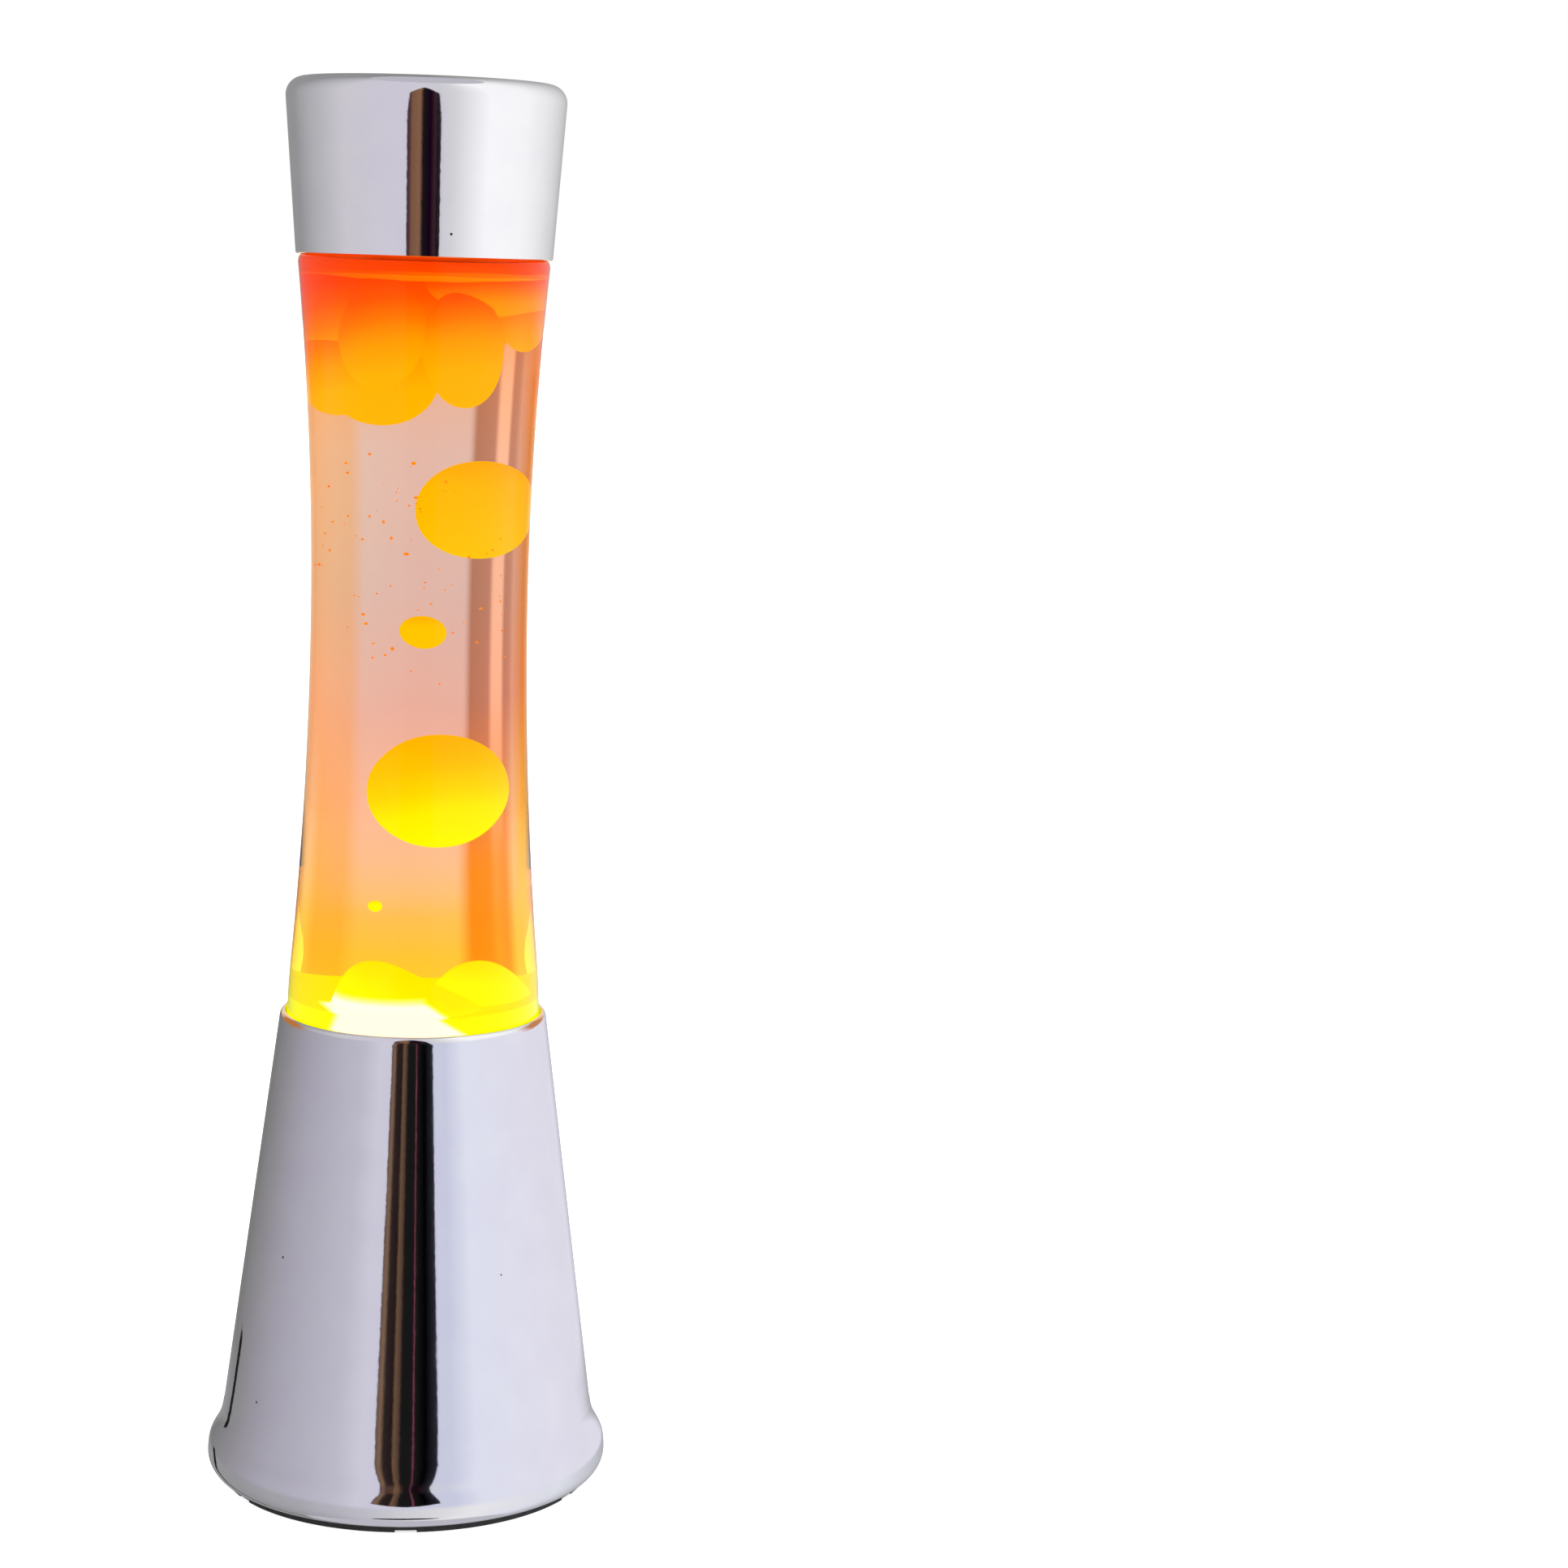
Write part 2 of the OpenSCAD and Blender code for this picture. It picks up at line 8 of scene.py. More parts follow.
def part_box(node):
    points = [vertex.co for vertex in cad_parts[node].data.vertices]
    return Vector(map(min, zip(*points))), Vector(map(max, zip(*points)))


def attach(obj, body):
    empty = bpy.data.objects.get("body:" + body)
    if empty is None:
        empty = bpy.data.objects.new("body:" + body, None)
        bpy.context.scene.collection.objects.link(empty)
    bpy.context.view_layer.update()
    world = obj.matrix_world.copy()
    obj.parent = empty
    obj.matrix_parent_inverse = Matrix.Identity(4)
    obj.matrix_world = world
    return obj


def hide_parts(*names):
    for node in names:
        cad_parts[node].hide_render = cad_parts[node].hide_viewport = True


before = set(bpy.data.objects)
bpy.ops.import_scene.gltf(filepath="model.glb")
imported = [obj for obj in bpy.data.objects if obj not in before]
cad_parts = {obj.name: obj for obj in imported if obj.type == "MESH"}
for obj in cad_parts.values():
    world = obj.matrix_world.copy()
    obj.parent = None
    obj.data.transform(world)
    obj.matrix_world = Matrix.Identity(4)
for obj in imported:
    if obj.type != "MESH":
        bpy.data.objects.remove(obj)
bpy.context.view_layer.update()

scene = bpy.context.scene
scene.view_settings.view_transform = "Standard"

# The camera stands a metre in front of the lamp, level with the cap's lower edge, and looks slightly down.
# It points past the lamp's right side, and it is held a degree or so out of level.
camera_data = bpy.data.cameras.new("camera")
camera_data.lens = 78.5
camera_data.sensor_width = 36
camera = bpy.data.objects.new("camera", camera_data)
scene.collection.objects.link(camera)
camera_turn = Matrix.Rotation(math.radians(-6.2), 4, "Z")
camera_tilt = Matrix.Rotation(math.radians(90 - 8.73), 4, "X")
camera_roll = Matrix.Rotation(math.radians(1.8), 4, "Z")
camera.matrix_world = Matrix.Translation((0, -0.957, 0.35)) @ camera_turn @ camera_tilt @ camera_roll
scene.camera = camera


# The room is a white one. What looks at it straight, or is lit by it, meets plain white, and what
# shines or refracts meets a dimmer lavender, as behind the lights of a studio.
def node(tree, kind, **settings):
    """Adds a shader node and sets the properties named."""
    made = tree.nodes.new("ShaderNode" + kind)
    for key, value in settings.items():
        setattr(made, key, value)
    return made


def link(tree, out, into):
    tree.links.new(out, into)


world = bpy.data.worlds.new("room")
world.use_nodes = True
scene.world = world
room = world.node_tree
white_room = room.nodes["Background"]
white_room.inputs["Color"].default_value = (1, 1, 1, 1)
dim_room = node(room, "Background")
dim_room.inputs["Color"].default_value = (0.58, 0.57, 0.63, 1)
ray = node(room, "LightPath")
plain_ray = node(room, "Math", operation="MAXIMUM")
room_mix = node(room, "MixShader")
link(room, ray.outputs["Is Camera Ray"], plain_ray.inputs[0])
link(room, ray.outputs["Is Diffuse Ray"], plain_ray.inputs[1])
link(room, plain_ray.outputs[0], room_mix.inputs[0])
link(room, dim_room.outputs[0], room_mix.inputs[1])
link(room, white_room.outputs[0], room_mix.inputs[2])
link(room, room_mix.outputs[0], room.nodes["World Output"].inputs["Surface"])


# The floor is a wide pale sheet that meets the white room with no line between them.
def deselect():
    if bpy.context.object and bpy.context.object.mode != "OBJECT":
        bpy.ops.object.mode_set(mode="OBJECT")
    bpy.ops.object.select_all(action="DESELECT")


def material(name):
    """A material with its Principled shader, and the object's coordinates ready for patterns."""
    made = bpy.data.materials.new(name)
    made.use_nodes = True
    tree = made.node_tree
    place = node(tree, "TexCoord")
    return made, tree, tree.nodes["Principled BSDF"], place.outputs["Object"]


def ramp(tree, value, stops, mode="LINEAR"):
    """A colour ramp over stops of (position, red, green, blue)."""
    made = node(tree, "ValToRGB")
    made.color_ramp.interpolation = mode
    elements = made.color_ramp.elements
    while len(elements) < len(stops):
        elements.new(0.5)
    for element, (position, *colour) in zip(elements, stops):
        element.position = position
    for element, (position, *colour) in zip(elements, stops):
        element.color = (*colour, 1)
    link(tree, value, made.inputs["Fac"])
    return made.outputs["Color"]


def math_node(tree, operation, a, b=None, c=None, clamp=False):
    made = node(tree, "Math", operation=operation, use_clamp=clamp)
    for socket, value in zip(made.inputs, (a, b, c)):
        if isinstance(value, (int, float)):
            socket.default_value = value
        elif value is not None:
            link(tree, value, socket)
    return made.outputs[0]


def spread(tree, value, low, high):
    """Carries a value from low..high to 0..1."""
    made = node(tree, "MapRange")
    made.inputs["From Min"].default_value = low
    made.inputs["From Max"].default_value = high
    link(tree, value, made.inputs["Value"])
    return made.outputs["Result"]


floor_finish, tree, shader, place = material("studio_floor")
shader.inputs["Base Color"].default_value = (0.86, 0.86, 0.86, 1)
shader.inputs["Roughness"].default_value = 0.9
shader.inputs["Specular IOR Level"].default_value = 0
shader.inputs["Emission Color"].default_value = (1, 1, 1, 1)
shader.inputs["Emission Strength"].default_value = 0.7
deselect()
bpy.ops.mesh.primitive_plane_add(size=30, location=(0, 0, 0))
floor = bpy.context.object
floor.name = "studio_floor"
floor.data.materials.append(floor_finish)
floor.visible_glossy = False


# A round screen stands about the lamp and is seen only in what shines. It is grey on the left and
# white on the right. It has one dark gap in front, where the studio is open, and pale paper below.
# At the bottle's height it carries a painted reflection of the lamp's own glow, orange at the
# sides and peach behind.
def turned_screen(name, radius, low, high):
    deselect()
    bpy.ops.mesh.primitive_cylinder_add(vertices=128, radius=radius, depth=high - low,
                                        end_fill_type="NOTHING", location=(0, 0, (low + high) / 2))
    made = bpy.context.object
    made.name = name
    bpy.ops.object.transform_apply(location=True)
    made.visible_camera = False
    made.visible_diffuse = False
    made.visible_shadow = False
    return made


def screen_angle(tree, place):
    """Degrees round the lamp, from -180 to 180, with 0 in front and the right side positive."""
    split = node(tree, "SeparateXYZ")
    link(tree, place, split.inputs[0])
    back = math_node(tree, "MULTIPLY", split.outputs["Y"], -1)
    turn = math_node(tree, "ARCTAN2", split.outputs["X"], back)
    return math_node(tree, "MULTIPLY", turn, 180 / math.pi), split.outputs["Z"]


def mix_colour(tree, share, a, b):
    made = node(tree, "Mix", data_type="RGBA")
    for socket, value in ((made.inputs["Factor"], share), (made.inputs[6], a), (made.inputs[7], b)):
        if isinstance(value, (int, float)):
            socket.default_value = value
        elif isinstance(value, tuple):
            socket.default_value = (*value, 1)
        else:
            link(tree, value, socket)
    return made.outputs[2]


def glowing(name):
    """A material that only glows, and the socket of its colour."""
    made = bpy.data.materials.new(name)
    made.use_nodes = True
    tree = made.node_tree
    tree.nodes.remove(tree.nodes["Principled BSDF"])
    glow = node(tree, "Emission")
    link(tree, glow.outputs[0], tree.nodes["Material Output"].inputs["Surface"])
    place = node(tree, "TexCoord")
    return made, tree, glow.inputs["Color"], place.outputs["Object"]


mirror_finish, tree, glow, place = glowing("mirror_screen")
degrees, height = screen_angle(tree, place)
share = math_node(tree, "MULTIPLY_ADD", degrees, 1 / 360, 0.5)
upper = ramp(tree, share, [
    (0.00, 0.30, 0.30, 0.30), (0.13, 0.34, 0.34, 0.35), (0.20, 0.49, 0.49, 0.51), (0.31, 0.71, 0.69, 0.74),
    (0.43, 0.74, 0.70, 0.80), (0.53, 0.72, 0.70, 0.76), (0.56, 0.78, 0.78, 0.80), (0.64, 1.14, 1.14, 1.16),
    (0.74, 1.12, 1.12, 1.12), (0.80, 1.00, 1.00, 1.00), (0.88, 0.76, 0.76, 0.77), (1.00, 0.30, 0.30, 0.30)])
lower = ramp(tree, share, [
    (0.00, 0.22, 0.22, 0.23), (0.09, 0.22, 0.22, 0.22), (0.17, 0.32, 0.31, 0.33), (0.27, 0.47, 0.45, 0.53),
    (0.39, 0.61, 0.59, 0.69), (0.43, 0.73, 0.71, 0.82), (0.57, 0.70, 0.72, 0.88), (0.61, 0.88, 0.90, 1.03),
    (0.77, 0.90, 0.88, 0.99), (0.90, 0.84, 0.82, 0.92), (1.00, 0.22, 0.22, 0.23)])
rise = spread(tree, height, 0.20, 0.30)
walls = mix_colour(tree, rise, lower, upper)
# Painted reflection: an orange glow at the sides and a peach one behind, at the bottle's height, stand for
# the lamp's own light.
far_back = spread(tree, math_node(tree, "ABSOLUTE", degrees), 140, 155)
over_lip = spread(tree, height, 0.13, 0.15)
under_cap = spread(tree, height, 0.31, 0.29)
by_bottle = math_node(tree, "MULTIPLY", over_lip, under_cap)
to_side = spread(tree, math_node(tree, "ABSOLUTE", degrees), 100, 118)
painted_side_glow = math_node(tree, "MULTIPLY", math_node(tree, "MULTIPLY", to_side, by_bottle), 0.9)
walls = mix_colour(tree, painted_side_glow, walls, (0.60, 0.20, 0.02))
painted_back_glow = math_node(tree, "MULTIPLY", far_back, by_bottle)
walls = mix_colour(tree, painted_back_glow, walls, (1.0, 0.72, 0.48))
paper = ramp(tree, share, [
    (0.00, 0.30, 0.30, 0.31), (0.20, 0.36, 0.36, 0.37), (0.34, 0.47, 0.46, 0.50), (0.44, 0.62, 0.61, 0.67),
    (0.52, 0.79, 0.79, 0.81), (0.60, 0.95, 0.95, 0.97), (0.75, 0.86, 0.88, 0.96), (1.00, 0.30, 0.30, 0.31)])
on_paper = spread(tree, height, -0.04, -0.07)
screen_colour = mix_colour(tree, on_paper, walls, paper)
gap_half = math_node(tree, "MULTIPLY_ADD", height, -13, 17.7)
gap_middle = math_node(tree, "MULTIPLY_ADD", rise, 1.6, 0.3)
gap_turn = math_node(tree, "ADD", gap_middle, degrees)
across = math_node(tree, "DIVIDE", gap_turn, gap_half)
gap_share = math_node(tree, "MULTIPLY_ADD", across, 0.5, 0.5)
gap_upper = ramp(tree, gap_share, [
    (0.00, 0.05, 0.02, 0.04), (0.09, 0.10, 0.04, 0.05), (0.14, 0.22, 0.11, 0.06), (0.38, 0.28, 0.14, 0.08),
    (0.44, 0.12, 0.05, 0.04), (0.47, 0.01, 0.01, 0.01), (0.70, 0.01, 0.00, 0.01), (0.84, 0.05, 0.02, 0.03),
    (0.90, 0.01, 0.01, 0.01), (1.00, 0.02, 0.01, 0.02)])
gap_lower = ramp(tree, gap_share, [
    (0.00, 0.10, 0.07, 0.06), (0.07, 0.26, 0.15, 0.09), (0.13, 0.03, 0.02, 0.02), (0.26, 0.02, 0.01, 0.01),
    (0.29, 0.17, 0.10, 0.06), (0.36, 0.11, 0.06, 0.04), (0.40, 0.01, 0.01, 0.01), (0.59, 0.01, 0.01, 0.01),
    (0.605, 0.32, 0.07, 0.13), (0.62, 0.01, 0.01, 0.01), (0.80, 0.00, 0.00, 0.00), (1.00, 0.02, 0.02, 0.03)])
gap_colour = mix_colour(tree, rise, gap_lower, gap_upper)
in_width = math_node(tree, "LESS_THAN", math_node(tree, "ABSOLUTE", across), 1)
bow = math_node(tree, "POWER", math_node(tree, "ABSOLUTE", across), 1.6)
bowed_top = math_node(tree, "MULTIPLY_ADD", bow, 0.24, height)
bowed_foot = math_node(tree, "MULTIPLY_ADD", bow, -0.03, height)
under_top = math_node(tree, "LESS_THAN", bowed_top, 0.60)
over_foot = math_node(tree, "GREATER_THAN", bowed_foot, -0.035)
in_gap = math_node(tree, "MULTIPLY", in_width, math_node(tree, "MULTIPLY", under_top, over_foot))
screen_colour = mix_colour(tree, in_gap, screen_colour, gap_colour)
shadow_rise = math_node(tree, "MULTIPLY_ADD", height, 16, 5.6)
shadow_rise = math_node(tree, "POWER", shadow_rise, 2)
shadow_reach = math_node(tree, "ADD", shadow_rise, math_node(tree, "POWER", across, 2))
in_shadow = math_node(tree, "LESS_THAN", shadow_reach, 1)
screen_colour = mix_colour(tree, in_shadow, screen_colour, (0.02, 0.01, 0.02))
seam_turn = math_node(tree, "ABSOLUTE", math_node(tree, "ADD", degrees, 134))
in_seam = math_node(tree, "LESS_THAN", seam_turn, 2.4)
in_seam = math_node(tree, "MULTIPLY", in_seam, math_node(tree, "LESS_THAN", height, -0.028))
link(tree, mix_colour(tree, in_seam, screen_colour, (0.01, 0.01, 0.01)), glow)
mirror_screen = turned_screen("mirror_screen", 0.33, -0.6, 1.1)
mirror_screen.data.materials.append(mirror_finish)
mirror_screen.visible_transmission = False

# A second round screen is seen only through the bottle. Its upright bands are the pale backdrop
# and the darker sides of the studio, which the liquid bends into view. The yellow and amber in
# the lower bands and the orange and peach towards the sides are a painted glow: they stand for
# the wax's light in the liquid.
backdrop_and_painted_glow, tree, glow, place = glowing("bottle_screen")
degrees, height = screen_angle(tree, place)
behind = math_node(tree, "WRAP", degrees, 360, 0)
band_share = spread(tree, behind, 90, 270)
# Painted glow: the orange and peach towards both sides stand for the wax's light at the liquid's edges.
bands = ramp(tree, band_share, [
    (0.00, 1.00, 0.76, 0.45), (0.23, 1.07, 0.90, 0.58), (0.40, 0.92, 0.80, 0.58), (0.425, 0.86, 0.90, 0.96),
    (0.50, 0.86, 0.84, 0.90), (0.56, 0.84, 0.84, 0.91), (0.57, 0.51, 0.33, 0.25), (0.605, 0.59, 0.38, 0.31),
    (0.615, 1.13, 0.88, 0.71), (0.64, 1.13, 0.88, 0.71), (0.65, 0.57, 0.36, 0.28), (0.67, 0.62, 0.40, 0.32),
    (0.69, 0.80, 0.62, 0.54), (0.77, 0.82, 0.42, 0.11), (0.88, 0.98, 0.42, 0.04), (1.00, 1.00, 0.38, 0.02)])
# Painted glow: the low bands are mostly yellow and amber, for the pool's light in the liquid above it.
low_bands = ramp(tree, band_share, [
    (0.00, 1.10, 0.90, 0.40), (0.26, 1.06, 1.02, 0.80), (0.32, 1.08, 0.76, 0.34), (0.40, 1.10, 0.76, 0.42),
    (0.43, 1.10, 0.90, 0.86), (0.55, 1.10, 0.92, 0.88), (0.57, 1.06, 0.44, 0.02), (0.605, 1.06, 0.46, 0.03),
    (0.62, 1.08, 0.58, 0.16), (0.65, 1.06, 0.50, 0.10), (0.685, 1.08, 0.98, 0.70), (0.75, 1.10, 1.00, 0.14),
    (1.00, 1.10, 0.80, 0.05)])
uplift = spread(tree, height, 0.06, 0.15)
link(tree, mix_colour(tree, uplift, low_bands, bands), glow)
bottle_screen = turned_screen("bottle_screen", 0.5, -0.02, 0.9)
bottle_screen.data.materials.append(backdrop_and_painted_glow)
bottle_screen.visible_glossy = False


# Two soft lights, one on each side, give the matt pieces their plain shading. They aren't seen
# in anything that shines.
def soft_light(name, location, target, size, size_y, power):
    data = bpy.data.lights.new(name, "AREA")
    data.shape = "RECTANGLE"
    data.size = size
    data.size_y = size_y
    data.energy = power
    lamp = bpy.data.objects.new(name, data)
    scene.collection.objects.link(lamp)
    lamp.location = location
    lamp.rotation_euler = (Vector(target) - Vector(location)).to_track_quat("-Z", "Y").to_euler()
    return lamp


soft_light("left_light", (-0.9, -0.7, 1.3), (0, 0, 0.2), 0.8, 0.8, 4).visible_glossy = False
soft_light("right_light", (1.0, -0.5, 1.2), (0, 0, 0.2), 0.8, 0.8, 4).visible_glossy = False

# The base is a cone pressed from sheet steel and chromed. Its lip is rolled over into the opening,
# and its foot flares into a rounded bead whose hem is turned in underneath.
MM = 0.001
AROUND = 192
base_low, base_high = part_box("base_shell")
foot_r = base_high.x / MM
lip_z = base_high.z / MM
hem_z = base_low.z / MM
sheet = 1.0
cone_low_r = foot_r - 3.95
cone_top_r = 37.45
bead_top_z = 17.3
bead_mid_z = 7.0
lip_bore_r = 36.1
cone_slope = (cone_low_r - cone_top_r) / (lip_z - bead_top_z)


def arc(x, z, radius, start, end, steps):
    """Points (radius from the axis, height) along an arc about (x, z), in degrees."""
    turns = [math.radians(start + (end - start) * i / steps) for i in range(steps + 1)]
    return [(x + radius * math.cos(t), z + radius * math.sin(t)) for t in turns]


def stack(name, rings, around=AROUND):
    """Makes a skin from a stack of rings, (x, y, z, x radius, y radius) each, in millimetres.
    One ring is drawn, and then extruded and scaled from each place to the next."""
    tiny = 0.001
    rings = [(x, y, z, max(rx, tiny), max(ry, tiny)) for x, y, z, rx, ry in rings]
    x, y, z, rx, ry = rings[0]
    deselect()
    bpy.ops.mesh.primitive_circle_add(vertices=around, radius=rx * MM, location=(x * MM, y * MM, z * MM))
    piece = bpy.context.object
    piece.name = name
    piece.data.name = name
    bpy.ops.object.transform_apply(location=True)
    bpy.ops.object.mode_set(mode="EDIT")
    bpy.ops.mesh.select_all(action="SELECT")
    bpy.ops.transform.resize(value=(1, ry / rx, 1), center_override=(x * MM, y * MM, z * MM))
    for (x0, y0, z0, rx0, ry0), (x, y, z, rx, ry) in zip(rings, rings[1:]):
        step = ((x - x0) * MM, (y - y0) * MM, (z - z0) * MM)
        bpy.ops.mesh.extrude_region_move(TRANSFORM_OT_translate={"value": step})
        bpy.ops.transform.resize(value=(rx / rx0, ry / ry0, 1), center_override=(x * MM, y * MM, z * MM))
    bpy.ops.mesh.select_all(action="SELECT")
    bpy.ops.mesh.remove_doubles(threshold=0.005 * MM)
    bpy.ops.mesh.normals_make_consistent(inside=False)
    bpy.ops.object.mode_set(mode="OBJECT")
    bpy.ops.object.shade_smooth_by_angle(angle=math.radians(40))
    return piece


def turned(name, outline, around=AROUND):
    """A turned piece from an outline of (radius, height). The outline comes back to its start,
    or starts and ends on the axis."""
    return stack(name, [(0, 0, z, r, r) for r, z in outline], around)


def cone_r(z):
    return cone_top_r + (lip_z - z) * cone_slope


def bead_arc(fall, rise):
    """Radius of the arc that falls back by a given distance over a given height."""
    return (fall * fall + rise * rise) / (2 * fall)


hem_r = foot_r - 4.9
bead_low_r = bead_arc(foot_r - hem_r, bead_mid_z - hem_z)
bead_high_r = bead_arc(foot_r - cone_low_r, bead_top_z - bead_mid_z)
bead_low_angle = -math.degrees(math.acos((hem_r - foot_r + bead_low_r) / bead_low_r))
bead_high_angle = math.degrees(math.asin((bead_top_z - bead_mid_z) / bead_high_r))
lip_h = 2.6
lip_w = cone_r(lip_z - lip_h) - lip_bore_r - 0.15
outside = [(hem_r - 1.5, hem_z)]
outside += arc(foot_r - bead_low_r, bead_mid_z, bead_low_r, bead_low_angle, 0, 14)
flare = [0.02, 0.08, 0.19, 0.40, 0.80, 1.36, 1.95, 2.50, 2.98, 3.36, 3.68, 3.93, 4.13, 4.29]
outside += [(foot_r - fall, bead_mid_z + 0.8 + step) for step, fall in enumerate(flare)]
outside += [(cone_r(z), z) for z in (22, 30, 50, 75, 100, 120, lip_z - lip_h - 0.6)]
for degree in range(0, 91, 9):
    turn = math.radians(degree)
    outside.append((lip_bore_r + 0.15 + lip_w * math.cos(turn), lip_z - lip_h + lip_h * math.sin(turn)))
inside = [(lip_bore_r, lip_z - 0.3), (lip_bore_r, lip_z - 8), (lip_bore_r + 0.9, lip_z - 8)]
inside += [(lip_bore_r + 0.9, lip_z - 4.5)]
inside += [(cone_r(z) - sheet, z) for z in (lip_z - 5, 100, 60, 30)]
inside += arc(foot_r - bead_high_r, bead_mid_z, bead_high_r - sheet, bead_high_angle - 4, 0, 8)
inside += arc(foot_r - bead_low_r, bead_mid_z, bead_low_r - sheet, 0, -75, 8)
inside += [(hem_r - 1.5, hem_z + 1.1), (hem_r - 1.5, hem_z)]
base_skin = turned("base_shell_skin", outside + inside)

# Bright chrome has a faint lavender cast, the slight ripple of pressed sheet under its plating,
# and a few pinholes that the plating left open.
chrome, tree, shader, place = material("chrome_plate")
shader.inputs["Metallic"].default_value = 1
grain = node(tree, "TexNoise")
grain.inputs["Scale"].default_value = 90
grain.inputs["Detail"].default_value = 4
link(tree, place, grain.inputs["Vector"])
plating = ramp(tree, grain.outputs["Fac"], [(0.3, 0.80, 0.79, 0.82), (0.7, 0.83, 0.83, 0.84)])
pinholes = node(tree, "TexVoronoi")
pinholes.inputs["Scale"].default_value = 60
link(tree, place, pinholes.inputs["Vector"])
open_pin = math_node(tree, "LESS_THAN", pinholes.outputs["Distance"], 0.022)
link(tree, mix_colour(tree, open_pin, plating, (0.06, 0.06, 0.06)), shader.inputs["Base Color"])
gloss = math_node(tree, "MULTIPLY_ADD", grain.outputs["Fac"], 0.05, 0.03)
link(tree, math_node(tree, "MULTIPLY_ADD", open_pin, 0.4, gloss), shader.inputs["Roughness"])
ripple = node(tree, "TexNoise")
ripple.inputs["Scale"].default_value = 700
ripple.inputs["Detail"].default_value = 2
link(tree, place, ripple.inputs["Vector"])
bump = node(tree, "Bump")
bump.inputs["Strength"].default_value = 0.15
bump.inputs["Distance"].default_value = 0.00004
link(tree, ripple.outputs["Fac"], bump.inputs["Height"])
link(tree, bump.outputs[0], shader.inputs["Normal"])
base_skin.data.materials.append(chrome)
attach(base_skin, "base")
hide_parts("base_shell")

# The cap is spun from the same sheet: an open cup, widest at its rounded top corner, that slips
# down over the bottle's shoulder.
cap_low, cap_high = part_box("cap_shell")
cap_z = cap_low.z / MM
cap_top = cap_high.z / MM
cap_low_r = 35.2
cap_top_r = cap_high.x / MM
cap_corner = 5.0
cap_slope = (cap_top_r - cap_low_r) / (cap_top - cap_corner - cap_z)
cap_outer = [(cap_low_r - 1, cap_z + 0.2), (cap_low_r - 0.5, cap_z), (cap_low_r, cap_z + 0.3)]
cap_outer += [(cap_low_r + cap_slope * rise, cap_z + rise) for rise in (2, 12, 24, 36)]
cap_outer += arc(cap_top_r - cap_corner, cap_top - cap_corner, cap_corner, 0, 90, 14)
cap_outer += [(20, cap_top), (0, cap_top)]
cap_inner = [(0, cap_top - sheet), (20, cap_top - sheet)]
cap_inner += arc(cap_top_r - cap_corner, cap_top - cap_corner, cap_corner - sheet, 90, 0, 10)
cap_skin = turned("cap_shell_skin", cap_inner + cap_outer)
cap_skin.data.materials.append(chrome)
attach(cap_skin, "cap")
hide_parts("cap_shell")

# The bottle is blown clear glass with an hourglass side, a dished bottom, and a neck for its crown.
glass_low, glass_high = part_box("globe_glass")
bottle_z = glass_low.z / MM
finish_z = glass_high.z / MM
bottle_max_r = glass_high.x / MM
glass_t = 2.4
waist_r = 30.1
waist_z = 252.0
foot_arc_r = 200.0
foot_arc_z = 150.0
bottle_corner = 7.0
shoulder_z = cap_z + 1.1
shoulder_corner = 3.2
shoulder_low = shoulder_z - shoulder_corner
foot_arc_low = foot_arc_z - foot_arc_r * math.sin(math.atan(2 * 0.00045 * (waist_z - foot_arc_z)))


def bottle_r(z):
    """Outer radius of the bottle's side at a height."""
    if z > waist_z:
        return waist_r + 0.000508 * (z - waist_z) ** 2
    if z > foot_arc_z:
        return waist_r + 0.00045 * (waist_z - z) ** 2
    return bottle_max_r - max(z - foot_arc_low, 0) ** 2 / (2 * foot_arc_r)


def side_of_bottle(low, high, inset, steps=36):
    heights = [low + (high - low) * i / steps for i in range(steps + 1)]
    return [(bottle_r(z) - inset, z) for z in heights]


side_low = bottle_z + bottle_corner
shoulder_r = bottle_r(shoulder_low)
dish_r = bottle_max_r - bottle_corner - 4
outer = [(0, bottle_z + 5), (8, bottle_z + 4.6), (16, bottle_z + 3)]
outer += [(dish_r - 3, bottle_z + 0.8), (dish_r, bottle_z)]
outer += arc(bottle_max_r - bottle_corner, side_low, bottle_corner, -90, 0, 9)
outer += side_of_bottle(foot_arc_low, shoulder_low, 0)
outer += arc(shoulder_r - shoulder_corner, shoulder_low, shoulder_corner, 15, 90, 8)
outer += [(25, shoulder_z + 0.2), (19, shoulder_z + 3), (15.5, shoulder_z + 7), (13.3, 358), (12.6, 362)]
outer += [(12.6, finish_z - 8), (13.4, finish_z - 7), (13.4, finish_z - 1.2), (12.6, finish_z)]
inner = [(9.2, finish_z), (9.2, 360), (10.5, 356.5), (13, shoulder_z + 5), (19, shoulder_z + 0.9)]
inner += [(24, shoulder_z - glass_t)]
inner += arc(shoulder_r - shoulder_corner, shoulder_low, shoulder_corner - glass_t, 90, 15, 4)
inner += side_of_bottle(shoulder_low, foot_arc_low, glass_t)
inner += arc(bottle_max_r - bottle_corner, side_low, bottle_corner - glass_t, 0, -80, 7)
inner += [(dish_r - 3, bottle_z + 3.4), (16, bottle_z + 5.8), (8, bottle_z + 7.4), (0, bottle_z + 7.8)]
bottle = turned("bottle_glass", outer + inner)
clear_glass, tree, shader, place = material("bottle_glass")
shader.inputs["Transmission Weight"].default_value = 1
shader.inputs["IOR"].default_value = 1.33
shader.inputs["Specular Tint"].default_value = (0.3, 0.3, 0.3, 1)
mottle = node(tree, "TexNoise")
mottle.inputs["Scale"].default_value = 25
link(tree, place, mottle.inputs["Vector"])
link(tree, ramp(tree, mottle.outputs["Fac"], [(0.3, 0.985, 0.98, 0.975), (0.7, 1, 1, 1)]),
     shader.inputs["Base Color"])
